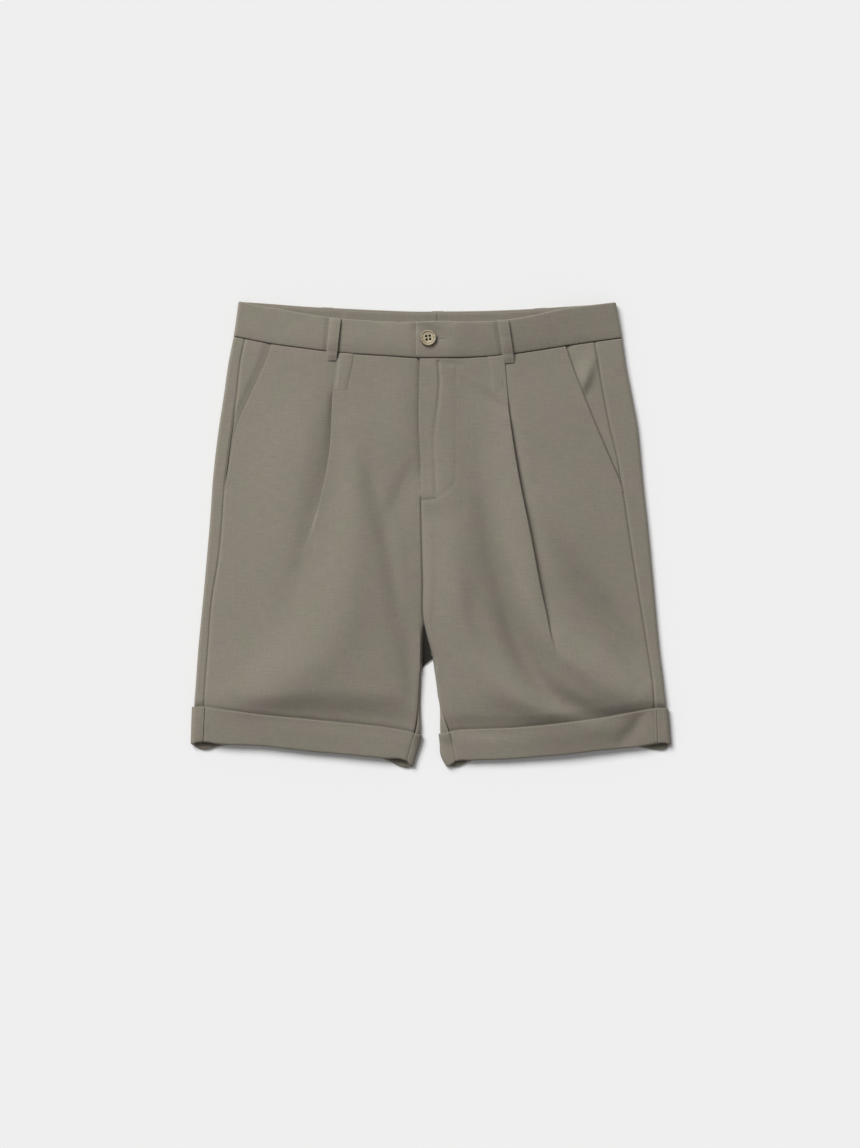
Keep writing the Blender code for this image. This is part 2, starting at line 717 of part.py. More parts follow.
def pocket_points(side):
    """Outer face of a pocket facing: behind the front panel, level with it at the side seam."""
    out = OUTWARD[side]
    columns = []
    for share in np.linspace(0, 1, 7):
        columns.append(lambda y, s=share: pocket_column(side, s, y))
    grid = in_order(side, [column_points(side, 0, 0, column) for column in columns])
    grid = grid[: LEG_ROWS.index(48) + 1]
    past_mouth = out * (grid[..., 0] - read(SIDES[side], "mouth", grid[..., 1]))
    grid[..., 2] -= POCKET_STEP * blend(12, 2, past_mouth)
    return grid


def pocket_column(side, share, y):
    seam = read(SIDES[side], "seam", y) - OUTWARD[side] * SEAM_GAP / 2
    hidden = read(SIDES[side], "mouth", y) - OUTWARD[side] * MOUTH_UNDERLAP
    x = hidden + (seam - hidden) * share
    return x, top_height(x, y)


def front_loop_points(side):
    """Outer face of a belt loop over the front waistband."""
    top = np.array(FRONT_LOOPS[side]["top"])
    bottom = np.array(FRONT_LOOPS[side]["bottom"])
    columns = []
    for across in np.linspace(-LOOP_WIDTH / 2, LOOP_WIDTH / 2, 3):
        down = np.linspace(0, 1, 7)
        x = top[0] + (bottom[0] - top[0]) * down + across
        y = top[1] + (bottom[1] - top[1]) * down
        over_band = BAND_PROUD + band_lift(side, x) + LOOP_STAND + LOOP_WALL
        z = top_height(x, y) + over_band + LOOP_BOW * np.sin(math.pi * down)
        columns.append(np.stack([x, y, z], axis=1))
    return np.stack(columns, axis=1)


def back_loop_points(x_middle):
    """Outer face of a belt loop under the back waistband."""
    columns = []
    for across in np.linspace(LOOP_WIDTH / 2, -LOOP_WIDTH / 2, 3):
        x = x_middle + across
        y = np.linspace(read(BAND_TOP, "back", x), read(WAIST_SEAM, "back", x) - LOOP_TAIL, 5)
        columns.append(np.stack([np.full(5, x), y, np.zeros(5)], axis=1))
    return np.stack(columns, axis=1)


def zip_points():
    """Outer face of the closed zip under the lower layer of the fly."""
    y = np.linspace(WAIST_Y - 6, FLY_END_Y + 10, 8)
    columns = []
    for share in np.linspace(0, 1, 4):
        x = read(INNER["left"], "seam", y) + ZIP_WIDTH * share
        columns.append(np.stack([x, y, top_height(x, y) - ZIP_DROP], axis=1))
    return np.stack(columns, axis=1)


def add_button(group, cutters, finish):
    """Turned four-hole button: a raised rim, a dished middle and a slightly domed back."""
    radius = BUTTON_DIAMETER / 2
    top = BUTTON_THICKNESS
    profile = [
        (0.0, top - 0.9),
        (radius * 0.60, top - 0.8),
        (radius * 0.70, top - 0.7),
        (radius * 0.78, top - 0.05),
        (radius * 0.86, top),
        (radius * 0.96, top - 0.5),
        (radius, top * 0.55),
        (radius * 0.94, 0.5),
        (radius * 0.75, 0.0),
        (0.0, 0.0),
    ]
    bm = bmesh.new()
    points = [bm.verts.new((x * MM, 0, z * MM)) for x, z in profile]
    for start, end in zip(points, points[1:]):
        bm.edges.new((start, end))
    button = add_object("button", bm, group, finish)
    turned = button.modifiers.new("turned", "SCREW")
    turned.steps = turned.render_steps = 24
    turned.use_merge_vertices = True
    turned.merge_threshold = 0.0001
    turned.use_normal_calculate = True
    for number in range(4):
        angle = math.pi / 4 + number * math.pi / 2
        reach = BUTTON_HOLE_SPACING / math.sqrt(2)
        bm = bmesh.new()
        bmesh.ops.create_cone(
            bm,
            cap_ends=True,
            segments=10,
            radius1=BUTTON_HOLE / 2 * MM,
            radius2=BUTTON_HOLE / 2 * MM,
            depth=4 * BUTTON_THICKNESS * MM,
        )
        cutter = add_object(f"button_hole_{number}", bm, cutters, finish)
        cutter.location = (reach * math.cos(angle) * MM, reach * math.sin(angle) * MM, 0)
        cutter.parent = button
        cutter.hide_render = True
        cutter.display_type = "WIRE"
        hole = button.modifiers.new("hole", "BOOLEAN")
        hole.object = cutter
    x, y = BUTTON_PLACE
    z = float(top_height(np.array(x), np.array(y))) + BAND_PROUD + BAND_LAP_LIFT + BUTTON_STAND
    button.location = (np.array([x, y, z]) - ORIGIN) * MM
    return button


def main():
    for old in list(bpy.data.objects):
        bpy.data.objects.remove(old)
    group = collection("bermuda_shorts")
    cutters = collection("cutters")
    twill = material("twill", (0.24, 0.215, 0.175), 0.9)
    horn = material("button_resin", (0.30, 0.26, 0.19), 0.45)
    tape = material("zip_tape", (0.16, 0.145, 0.12), 0.8)

    for side in ("right", "left"):
        front = front_points(side)
        back = back_points(side)
        for name, grid in (("front", front), ("back", back)):
            cuff = moved_out(grid, CUFF_LIFT)[CUFF_START:]
            cloth(f"cuff_{name}_{side}", cuff, CUFF_WALL, group, twill)
            panel = grid.copy()
            panel[-1, :, 1] += HEM_INSET
            cloth(f"{name}_{side}", panel, CLOTH, group, twill, folded=name == "front")
        cloth(f"pocket_facing_{side}", pocket_points(side), CLOTH, group, twill)
        cloth(f"waistband_{side}", band_points(side), BAND_WALL, group, twill)
        cloth(f"waistband_facing_{side}", facing_points(side), FACING_WALL, group, twill)
        cloth(f"belt_loop_front_{side}", front_loop_points(side), LOOP_WALL, group, twill)
    for place, x in BACK_LOOPS.items():
        cloth(f"belt_loop_back_{place}", back_loop_points(x), LOOP_WALL, group, twill)
    cloth("zip", zip_points(), CLOTH, group, tape)
    add_button(group, cutters, horn)


main()
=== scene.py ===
"""Looks of men's bermuda shorts in cotton twill, laid flat on their back.

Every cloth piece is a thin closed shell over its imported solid: a fine grid of points on its outer
face, a wall behind it and rounded edges. Pleats are real folds, and creases are soft troughs and
ridges. Sizes and places are in millimetres, +X towards the wearer's left, +Y towards the waist and
+Z up, in the frame of the tables below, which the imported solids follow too.
"""

import math

import bmesh
import bpy
import numpy as np
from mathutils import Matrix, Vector


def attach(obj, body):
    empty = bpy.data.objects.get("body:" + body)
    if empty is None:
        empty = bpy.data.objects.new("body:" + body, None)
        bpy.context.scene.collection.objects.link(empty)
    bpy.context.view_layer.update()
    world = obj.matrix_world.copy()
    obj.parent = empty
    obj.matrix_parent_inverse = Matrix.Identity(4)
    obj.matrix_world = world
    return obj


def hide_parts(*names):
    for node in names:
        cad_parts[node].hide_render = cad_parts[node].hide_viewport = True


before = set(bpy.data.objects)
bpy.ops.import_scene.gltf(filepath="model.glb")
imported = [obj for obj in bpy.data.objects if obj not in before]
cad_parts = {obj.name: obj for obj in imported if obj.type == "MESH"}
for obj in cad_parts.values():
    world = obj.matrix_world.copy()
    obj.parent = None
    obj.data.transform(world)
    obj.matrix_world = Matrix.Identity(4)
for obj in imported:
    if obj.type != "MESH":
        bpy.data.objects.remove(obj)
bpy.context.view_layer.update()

MM = 0.001
ORIGIN = np.array([0.35, 0.75, 0.0])  # middle of the garment's box, in the frame of the tables
OUTWARD = {"right": -1.0, "left": 1.0}


# -------- sizes
CLOTH = 0.8  # one layer of twill
TURNED_EDGE = 1.4  # cloth folded back on itself at a pocket mouth or lap
BAND_WALL = 2.2  # waistband: two layers and interlining
CUFF_WALL = 1.6  # the turned-up double cloth
FACING_WALL = 0.9
LOOP_WALL = 1.3
SEAM_GAP = 0.24  # between two panels that meet at a seam
WAIST_GAP = 0.5
LAYER_GAP = 0.3
CUFF_SEAM_GAP = 0.3
WALL_SEAM_GAP = 0.9
BAND_PROUD = 0.6  # of the front waistband over the panels
BAND_WIDTH = 38.0
LOOP_WIDTH = 12.5
LOOP_BOW = 1.0
LOOP_STAND = 0.8
LOOP_TAIL = 4.0
BUTTON_DIAMETER = 18.0
BUTTON_THICKNESS = 3.2
BUTTON_PLACE = (-3.0, 212.7)

WAIST_Y = 193.0
CUFF_Y = -205.0
CROTCH_Y = -132.0
FLY_END_Y = 44.0
POCKET_END_Y = 50.0
SIDE_TURN = 3.6  # how wide the cloth rounds down at a side fold
UNDERLAP = 18.0  # of the wearer's right front below the left one
BAND_ENDS = {"right": 11.0, "left": -15.0}  # x of the waistband halves at the fly
FACING_REACH = 182.0
FACING_DROP = 2.7
POCKET_STEP = 1.6  # from the front panel down to the bearer behind its pocket mouth
MOUTH_UNDERLAP = 16.0  # of the bearer behind the mouth
WAIST_LIFT = 1.5  # of the back waistband over the loops below it
CUFF_LIFT = 2.3  # of a turn-up over the leg's cloth
LAP_LIFT = 1.5
UNDER_LAP_DIP = 2.6
BAND_LAP_LIFT = 1.7
BAND_END_DIP = 1.0

NARROW_TURN = {"right": 2.6, "left": 0.6}  # how much less the front rounds down beside the gap of the legs
BACK_TURN = 5.0
CENTRE_GROOVE = 1.5
SEAM_DEPTH = {"right": 1.0, "left": 1.3}
EDGE_ZONE = 3.2
POCKET_CREVICE = {"right": 0.5, "left": 2.0}
HEM_FOLD = 1.8  # cloth between a turn-up and its inside at the hem
HEM_INSET = 2.4  # a leg's cloth ends this far inside the lower edge of its turn-up
CUFF_STANDS_OFF = 0.75  # share of the dip above a turn-up that the turn-up itself doesn't follow
CUFF_REST = {"right": 0.2, "left": 0.0}  # share of the dip's reach over which its cloth lies level
CUFF_TUCK = 0.7  # depth of the narrow tuck beside a turn-up
THREAD_SINKS = 0.05  # into the cloth below it
RIM_STEPS = 6  # round the edge of each piece

# The folded cloth of a pleat.
RELAX_IN = 22.0
RELAX_OUT = 25.0
CREST_REACH = 11.0  # how far inward the cloth's rise towards the edge reaches
OPEN_HALF = 2.5  # half the width that the folded cloth takes where the pleat has opened out
TUCK_RADIUS = 0.15
PLEAT_NOSE = 0.9  # how far the bend at the edge reaches inward
BEND_STEPS = 8
HIDDEN_STEPS = 3
TUCK_STEPS = 4
PLEAT_COLUMNS = BEND_STEPS + TUCK_STEPS + 2 * HIDDEN_STEPS

# The button: its face from the middle outwards, as a share of the radius and the depth below the
# top, then its back inwards, as a share of the radius and the height.
BUTTON_TURN = 0.12
GROOVE_PLACE = 0.70  # share of the radius at which the dark groove runs
GROOVE_WIDTH = 0.045
SHARP_ANGLE = 38
HOLE_DIAMETER = 2.8
HOLE_SPACING = 3.7
HOLE_FLOOR = 0.7  # height of the holes' floors, left in the button's own resin; the holes are painted almost black inside as painted shade
BUTTON_FACE = [
    (0.0, 0.85), (0.30, 0.83), (0.50, 0.70), (0.60, 0.55), (0.655, 0.52), (0.685, 0.72), (0.715, 0.74),
    (0.745, 0.50), (0.775, 0.16), (0.82, 0.02), (0.87, 0.03), (0.92, 0.20), (0.96, 0.55), (0.985, 1.0),
]
BUTTON_BACK = [
    (1.0, BUTTON_THICKNESS * 0.5), (0.985, BUTTON_THICKNESS * 0.3),
    (0.93, 0.35), (0.8, 0.05), (0.6, 0.0), (0.0, 0.0),
]

# Colours, and painted shade and light: darker cloth in folds and gaps, paler on ridges and side folds.
TWILL_COLOUR = (0.2230, 0.1985, 0.1610)
WARP_COLOUR = (0.2310, 0.1990, 0.1675)
WEFT_COLOUR = (0.2140, 0.1995, 0.1545)
TAPE_COLOUR = (0.16, 0.145, 0.12)
TAN_THREAD = (0.26, 0.235, 0.19)
PALE_THREAD = (0.30, 0.28, 0.24)
HORN_COLOUR = (0.42, 0.35, 0.24)
HORN_DARK = (0.30, 0.24, 0.155)
HORN_PALE = (0.50, 0.43, 0.31)
CREASE_PAINTED_SHADE = 0.016  # painted shade in valleys and painted light on ridges, for each millimetre of a fold's height
CREASE_SHADE_LIMITS = (-0.10, 0.03)
GAP_SHADE = 0.9  # down between the legs
# painted light along the side folds, strongest on the wearer's left, which faces away from the key light
FOLD_PAINTED_LIGHT = {"right": 0.05, "left": 0.3}
INSIDE_PAINTED_SHADE = [1.0, 1.0, 1.0, 1.0, 1.0, 1.0, 0.96, 0.88, 0.75, 0.65, 0.6]  # painted shade, round a hem and up inside the leg

# Each kind of cloth piece: the imported solid that it replaces, its flat width and length in metres,
# and how much of that size its shape fills.
CLOTH_PIECES = {
    "front_panel": ("front", (0.30, 0.46), 0.8),
    "back_panel": ("back", (0.32, 0.46), 0.85),
    "band": ("waistband", (0.42, 0.042), 1.0),
    "band_facing": ("waistband_facing", (0.182, 0.04), 0.95),
    "pocket_bearer": ("pocket_facing", (0.05, 0.165), 0.8),
    "loop_front": ("belt_loop_front", (0.0125, 0.05), 1.0),
    "loop_back": ("belt_loop_back", (0.0125, 0.045), 1.0),
    "turn_up_front": ("cuff_front", (0.25, 0.05), 0.95),
    "turn_up_back": ("cuff_back", (0.28, 0.05), 0.95),
}

# Camera, floor and light.
LENS = 85.0
SENSOR = 36.0
PICTURE_HEIGHT = 1239.84  # of the view, at the garment
CAMERA_HEIGHT = PICTURE_HEIGHT * LENS / SENSOR + 6
VIEW_CENTRE = (-1.43, -42.33)
FLOOR_ALBEDO = 0.93
ROOM_LIGHT = 0.28
KEY_LIGHT = 3.55
KEY_SOFTNESS = 28.0
SIDE_PANEL_SIZE = 0.5
SIDE_PANEL_LIGHT = 2.2
SIDE_PANEL_PLACE = (-0.8, 0.35, 0.8)  # metres
KEY_FROM = (-0.45, 0.84, 0.66)
FLOOR_KEY_LIGHT = 2.87
FLOOR_KEY_SOFTNESS = 32.0
FLOOR_KEY_FROM = (-0.56, 0.82, 1.0)  # steeper, so that the floor's shadows are short


# -------- tables
def table(columns, *rows):
    """A short table with named columns, in order of its first column."""
    values = zip(*sorted(rows))
    return {name: np.array(column, float) for name, column in zip(columns.split(), values)}


def numbered(columns, *rows):
    """A table whose rows are numbered from 0 in a first column called step."""
    return table("step " + columns, *[(step, *row) for step, row in enumerate(rows)])


def fold(*points):
    """A soft fold along a line: x, y, height, and width on the left and right, at each of its points."""
    return numbered("x y height left right", *points)


def read(rows, column, place):
    """Smooth curve through a column of a table, read at places of its first column."""
    places = next(iter(rows.values()))
    heights = rows[column]
    slopes = np.gradient(heights, places)
    place = np.clip(place, places[0], places[-1])
    before = np.clip(np.searchsorted(places, place) - 1, 0, len(places) - 2)
    span = places[before + 1] - places[before]
    t = (place - places[before]) / span
    start = (1 + 2 * t) * (1 - t) ** 2 * heights[before] + t * (1 - t) ** 2 * span * slopes[before]
    end = t * t * (3 - 2 * t) * heights[before + 1] - t * t * (1 - t) * span * slopes[before + 1]
    return start + end


def blend(start, end, value):
    """0 before start, 1 after end and a soft step between them."""
    t = np.clip((value - start) / (end - start), 0, 1)
    return t * t * (3 - 2 * t)

# Reach of the side folds at each height, the side seams, which lie on the front, and the pocket
# mouths, which run from the waist seam into the side seams.
SIDES = {
    "right": table(
        "y fold seam mouth",
        (252, -208, -196, -170), (214, -213.4, -200.3, -170), (187, -218.8, -205.5, -178),
        (153, -223.6, -209.2, -193.6), (118, -229, -214.2, -209), (84, -233.3, -218.8, -216),
        (52, -236.4, -222.6, -222), (44, -236.9, -223.2, -223.2), (15, -238.9, -225.2, -225.2),
        (-20, -241.9, -228.4, -228.4), (-72, -246.6, -236.4, -236.4), (-124, -251.6, -240.4, -240.4),
        (-158, -254, -243.2, -243.2), (-190, -256.2, -245, -245), (-228, -257.6, -247.4, -247.4),
    ),
    "left": table(
        "y fold seam mouth",
        (252, 199.6, 168, 141), (214, 206.2, 176, 142.5), (187, 210.2, 180.5, 150.5),
        (153, 216.7, 186.5, 163.3), (118, 223.1, 193.3, 177.5), (84, 226.5, 201.5, 192),
        (58, 228.9, 205.8, 203.4), (50, 229.7, 207.1, 206.6), (44, 230.4, 208.1, 208.1),
        (15, 233.7, 212.6, 212.6), (-20, 237.1, 217.9, 217.9), (-72, 241.9, 226.2, 226.2),
        (-124, 246.9, 234.5, 234.5), (-158, 251.1, 239.6, 239.6), (-190, 254.3, 241.6, 241.6),
        (-228, 257.6, 243.4, 243.4),
    ),
}

# The inner edge of each front panel: the fly and front seam down to the crotch, then the inseam.
# rise: how high the seam lies, as a share of the front's height. reach: how far the upper cloth
# reaches towards the other leg, and low: the same for the cloth below it.
INNER = {
    "right": table(
        "y inseam rise reach low",
        (236, 6, 1, -9, 7), (190, 6.4, 1, -9, 6.5), (124, 5.4, 1, -9, 5.5),
        (78, 6.5, 1, -9, 5), (56, -10.7, 1, -9, 4.5), (42, -10.5, 1, -9, 4.3),
        (8, -9.8, 0.98, -9, 3.5), (-50, -8.5, 0.92, -8.6, 2), (-93, -7.6, 0.84, -9, 1),
        (-108, -4.6, 0.58, -9.6, 1.2), (-122, -0.6, 0.36, -9.8, 1.6), (-132, 2, 0.26, -9.9, 2),
        (-136, -2.6, 0.26, -10, -2.8), (-141, -7.8, 0.26, -10, -8), (-146, -9.9, 0.30, -10, -9.9),
        (-158, -11, 0.40, -10.2, -10.2), (-176, -12.3, 0.60, -10.8, -10.8),
        (-193, -13.5, 0.85, -11.2, -11.2), (-210, -16, 1, -11.6, -11.4),
        (-224, -20.2, 1, -14.2, -13.9), (-237, -24.2, 1, -18.4, -18),
        (-252, -27, 1, -22, -21.8),
    ),
    "left": table(
        "y inseam rise reach low",
        (236, -12, 1, -9, 7), (190, -11.6, 1, -9, 6.5), (124, -12.6, 1, -9, 5.5),
        (72, -10.6, 1, -9, 5), (46, -10.5, 1, -9, 4.5), (8, -9.8, 0.98, -9, 3.5),
        (-50, -8.5, 0.92, -8.2, 2), (-93, -7.6, 0.84, -7, 1), (-108, -4.6, 0.58, -4, 1.2),
        (-122, -0.6, 0.36, 0, 1.6), (-132, 2, 0.26, 2.6, 2), (-136, 2.6, 0.26, 3.2, 2.6),
        (-146, 3.8, 0.26, 4.4, 3.8), (-158, 5.6, 0.32, 5.8, 5.6), (-176, 8, 0.5, 8, 8),
        (-193, 12.8, 0.86, 9.4, 9.4), (-210, 18.2, 1, 10.8, 10.6), (-224, 22.5, 1, 13, 12.8),
        (-237, 25, 1, 14.5, 14.2), (-252, 27, 1, 21, 20.6),
    ),
}

# The folded edge of each pleat, how deep its cloth is tucked, where it opens out (1 to 0), how far
# the cloth rises towards the edge, and how far and how wide it sinks past the edge.
PLEATS = {
    "right": table(
        "y edge depth folded crest sink wide",
        (236, -99.6, 18, 1, 0.5, 1.5, 8),
        (186, -102.3, 17, 1, 0.3, 0.5, 3),
        (158, -105.4, 14, 1, 0.3, 0.8, 3),
        (144, -106.6, 12.4, 1, 0.5, 2.6, 3.6),
        (127, -107.2, 10.5, 1, 0.7, 3.6, 5),
        (93, -109.2, 6.5, 1, 0.7, 4.2, 7.5),
        (65, -113.6, 3.6, 1, 0.5, 3.6, 10),
        (40, -119.4, 2.2, 0.8, 0.2, 2.4, 12),
        (14, -126, 2, 0.1, 0, 1, 14),
        (-30, -140, 2, 0, 0, 0, 16),
        (-60, -146, 2, 0, 0, 0, 16),
        (-250, -160, 2, 0, 0, 0, 16),
    ),
    "left": table(
        "y edge depth folded crest sink wide",
        (236, 76, 18, 1, 0.6, 1.5, 8),
        (184, 79.9, 17, 1, 0.5, 0.9, 4),
        (152, 82.6, 15.6, 1, 0.5, 1, 3.6),
        (135, 84.2, 15, 1, 0.8, 2.4, 4),
        (115, 86.8, 14, 1, 1.2, 4, 5),
        (67, 94.4, 11.4, 1, 1.4, 5.6, 6),
        (-5, 108.8, 7.6, 1, 1.6, 5.8, 10),
        (-58, 118.8, 4.8, 1, 1.2, 5.2, 12),
        (-90, 126, 3.2, 0.8, 0.5, 3.6, 12),
        (-113, 131, 2, 0.1, 0.1, 1.4, 12),
        (-140, 136, 2, 0, 0, 0, 12),
        (-165, 140, 2, 0, 0, 0, 12),
        (-250, 150, 2, 0, 0, 0, 12),
    ),
}

# Edges that run across the garment. front and back: the same edge on the upper and lower layer.
BAND_TOP = table(
    "x front back",
    (-206.8, 252.7, 252.7), (-195, 249.8, 252), (-165, 244.9, 249.8), (-140, 240, 247.8),
    (-96, 233.9, 245.5), (-56, 231.1, 243.6), (-15, 230.3, 242.2), (16, 230.9, 242.4), (42, 230.2, 242.6),
    (84, 232.6, 243.8), (111, 237.3, 245.2), (144, 244.3, 247.4), (174, 248.3, 249.4),
    (199.8, 251.7, 251.7),
)
WAIST_SEAM = table(
    "x front back",
    (-212.3, 214.6, 214.6), (-170, 206.3, 209.6), (-135, 201.4, 207.6), (-99, 197, 206),
    (-48, 193.3, 204), (-13, 191.2, 203.2), (6, 191.2, 203.2), (42, 191.8, 203.6), (77, 194.3, 204.6),
    (111, 199, 206), (142, 203.9, 208), (176, 208.9, 210.4), (206.4, 213.2, 213.2),
)
CUFF_TOP = {
    "right": table(
        "x front back",
        (-256, -184.6, -184.6), (-247, -184.2, -189), (-228, -186.6, -191), (-185, -192.3, -190.5),
        (-133, -197.7, -193.5), (-82, -202.9, -199), (-47, -206.9, -206.5), (-27, -210.4, -213),
        (-11, -214.6, -214.6),
    ),
    "left": table(
        "x front back",
        (10, -213.6, -213.6), (26, -210.2, -211), (53, -208.5, -205.5), (84, -207.3, -201.5),
        (109, -205.2, -199), (139, -202, -196), (183, -196.4, -191.5), (213, -190.7, -189.5),
        (243, -186, -191.5), (256, -185.8, -185.8),
    ),
}
HEM = {
    "right": table(
        "x front back",
        (-259, -225.6, -225.8), (-253, -223.6, -229.6), (-246, -223, -231.4), (-230, -225.2, -228),
        (-185, -227.2, -226), (-133, -233, -229.5), (-82, -237.6, -234.5), (-52, -240.8, -241.5),
        (-27, -243.7, -251), (-20, -248.6, -251.4), (-10, -246, -246),
    ),
    "left": table(
        "x front back",
        (11, -246, -246), (19, -248.6, -250.6), (27, -244.1, -250), (45, -243, -243.5),
        (84, -241.6, -238), (119, -238.8, -235), (139, -237.3, -233.5), (183, -232, -229.5),
        (225, -228, -229), (243, -224.8, -231.4), (253, -224.2, -231), (260, -225.6, -225.8),
    ),
}

# Thickness of the laid garment: at its side folds, and what its crown adds across the hips and
# across each leg.
THICKNESS = table(
    "y side hip leg",
    (252, 9.2, 4, 0), (190, 9, 5.5, 0), (100, 8.5, 6.5, 0), (20, 8.5, 6.5, 0.4),
    (-60, 8.5, 5, 2), (-120, 8.6, 2, 4.6), (-150, 8.8, 0.6, 6.6), (-175, 8.8, 0, 6.8),
    (-200, 8.2, 0, 3), (-208, 8, 0, 2.2), (-225, 7, 0, 1.6), (-250, 6, 0, 0.8),
)

# Soft folds of the front: each runs along a line, with its height at each point of the line, and its
# width there on the left and on the right hand of someone who walks along it. A valley's is negative.
FRONT_FOLDS = [
    # outer ridge of the right leg
    fold(
        (-126, 173, 0.4, 16, 46), (-134, 136, 1.6, 17, 46), (-141, 87, 2.8, 18, 46),
        (-148, 38, 2.6, 20, 46), (-154, -10, 1.8, 20, 44), (-160, -59, 0.8, 20, 40),
        (-165, -97, 0.2, 20, 38),
    ),
    # valley beside the right pleat
    fold(
        (-122, 38, -0.4, 12, 10), (-130, 6, -1, 12, 12), (-140, -26, -1.2, 12, 12),
        (-151, -59, -0.8, 12, 12), (-159, -86, -0.3, 12, 12),
    ),
    # main ridge of the right leg
    fold(
        (-87, 114, 1.2, 22, 18), (-84, 65, 2.6, 16, 18), (-81, 17, 3.6, 17, 22), (-82, -26, 4, 22, 30),
        (-91, -64, 4.4, 28, 36), (-102, -97, 4.8, 32, 42), (-119, -124, 5, 32, 44),
        (-141, -146, 4.6, 28, 42), (-168, -165, 3.4, 22, 36), (-201, -178, 1.6, 16, 26),
    ),
    # crease beside the centre seam
    fold(
        (-70, 87, -0.5, 8, 9), (-62, 49, -1.6, 8, 9), (-51, 6, -2.4, 8, 10), (-41, -43, -2.8, 9, 10),
        (-33, -91, -2.6, 9, 12), (-27, -129, -1.8, 9, 12), (-22, -161, -0.6, 10, 12),
    ),
    # hollow beside the centre seam
    fold(
        (-26, 17, -0.3, 12, 7), (-24, -26, -0.7, 14, 7), (-22, -70, -1.1, 16, 7), (-21, -124, -1.5, 20, 8),
        (-21, -172, -1, 18, 8),
    ),
    # short valley from the end of the fly
    fold(
        (-15, 87, -0.5, 16, 8), (-25, 65, -1.4, 18, 9), (-36, 42, -1.7, 18, 9), (-44, 17, -1, 16, 9),
        (-48, -5, -0.3, 14, 9),
    ),
    # swell beside the fly
    fold((-38, 146, 0.7, 16, 22), (-38, 109, 1, 13, 22), (-49, 87, 0.4, 12, 16)),
    # swell of the right waistband
    fold((-141, 219, 0.5, 14, 16), (-93, 211, 0.9, 14, 16), (-50, 208, 1, 14, 16), (-23, 208, 0.5, 14, 16)),
    # dip under the left waistband
    fold(
        (10, 187, -0.4, 28, 36), (40, 187, -1.4, 30, 40), (69, 190, -2.3, 32, 44), (96, 193, -2.7, 32, 44),
        (129, 198, -2.4, 32, 40), (161, 205, -1.5, 30, 34), (188, 210, -0.5, 28, 26),
    ),
    # crease above the left pleat
    fold((38, 165, -0.3, 5, 5), (53, 155, -0.8, 5, 5), (69, 144, -1.1, 5, 5), (82, 133, -0.6, 5, 5)),
    # ridge of the left pleat
    fold(
        (75, 119, 1, 18, 18), (81, 87, 2.2, 18, 20), (87, 55, 3.4, 18, 20), (93, 22, 4.4, 20, 20),
        (97, -10, 5, 22, 19), (104, -43, 5.8, 22, 16), (111, -77, 6.4, 20, 14), (126, -107, 6.6, 20, 14),
        (150, -134, 5.8, 22, 14), (183, -158, 4, 24, 14), (219, -176, 1.6, 22, 12),
    ),
    # swell outside the left pleat
    fold((123, 28, 1.4, 40, 20), (131, -16, 1.4, 44, 20), (139, -53, 0.4, 40, 20)),
    # valley inside the left pleat
    fold(
        (46, 103, -0.5, 11, 12), (53, 55, -1.6, 12, 12), (63, 6, -3.4, 14, 14), (70, -32, -4.8, 15, 15),
        (80, -72, -6.4, 17, 15), (91, -110, -8.2, 18, 14), (106, -141, -8.8, 17, 13),
        (127, -168, -7.2, 14, 11), (160, -186, -4, 11, 10), (191, -194, -1.2, 10, 10),
    ),
    # main ridge of the left leg
    fold(
        (14, 76, 0.8, 17, 26), (21, 33, 2.4, 20, 27), (24, -5, 3.8, 20, 27), (26, -43, 4.8, 18, 27),
        (29, -75, 5.2, 14, 26), (37, -107, 4.8, 14, 24), (53, -139, 4.2, 14, 20), (77, -166, 3.6, 14, 16),
        (109, -186, 2.2, 9, 12), (141, -195, 0.4, 6, 10),
    ),
    # outer ridge above the left turn-up
    fold(
        (183, -139, 0.5, 26, 22), (202, -156, 1, 24, 24), (224, -169, 1.2, 18, 22),
        (237, -180, 0.6, 14, 18),
    ),
    # outer valley of the left leg
    fold(
        (126, 6, -0.8, 13, 14), (146, -24, -2.4, 13, 14), (167, -57, -4, 14, 14), (191, -89, -4.6, 14, 14),
        (213, -122, -3.8, 14, 14), (228, -152, -1.6, 14, 14),
    ),
    # broad hollow low on the left leg
    fold((166, -26, -1, 30, 30), (185, -80, -2.2, 34, 34), (206, -129, -1.6, 30, 28)),
    # dip at the top of the right pleat
    fold((-104, 192, -0.3, 12, 12), (-95, 168, -0.2, 12, 12)),
    # edge of the fly's inner facing
    fold(
        (8, 187, -1.6, 1.5, 1.5), (9, 157, -1.3, 1.5, 1.5), (3, 103, -0.6, 1.5, 1.5),
        (4, 71, -0.9, 1.5, 1.5), (5, 45, -1, 1.5, 1.5),
    ),
    # lower end of the fly
    fold((-13, 39, -0.7, 1.5, 1.5), (-3, 38, -1, 1.5, 1.5), (6, 40, -0.7, 1.5, 1.5)),
    # pucker under the waist seam
    fold((13, 185, -0.5, 2.4, 2), (25, 185, -0.8, 2.4, 2), (35, 183, -0.3, 2.4, 2)),
    # groove of the fly's stitching
    fold(
        (27, 183, -0.25, 1.8, 1.8), (27, 136, -0.25, 1.8, 1.8), (27, 92, -0.25, 1.8, 1.8),
        (25, 59, -0.3, 1.8, 1.8), (15, 47, -0.3, 1.8, 1.8), (6, 43, -0.3, 1.8, 1.8),
        (-2, 42, -0.25, 1.8, 1.8),
    ),
]

# How far the front sinks just above each turn-up, and over what height.
ABOVE_CUFF = {
    "right": table(
        "x drop reach",
        (-256, 1, 4), (-248, 0.8, 5), (-240, 0.1, 12), (-200, 0.9, 20), (-160, 2, 26), (-110, 3.2, 36),
        (-60, 3.2, 38), (-25, 2.2, 34), (-11, 1, 24),
    ),
    "left": table(
        "x drop reach",
        (10, 1.2, 20), (30, 2.6, 20), (70, 2, 15), (120, 1.8, 12), (160, 2, 12), (205, 1.8, 11),
        (235, 1.4, 10), (248, 1.4, 6), (256, 1.2, 4),
    ),
}

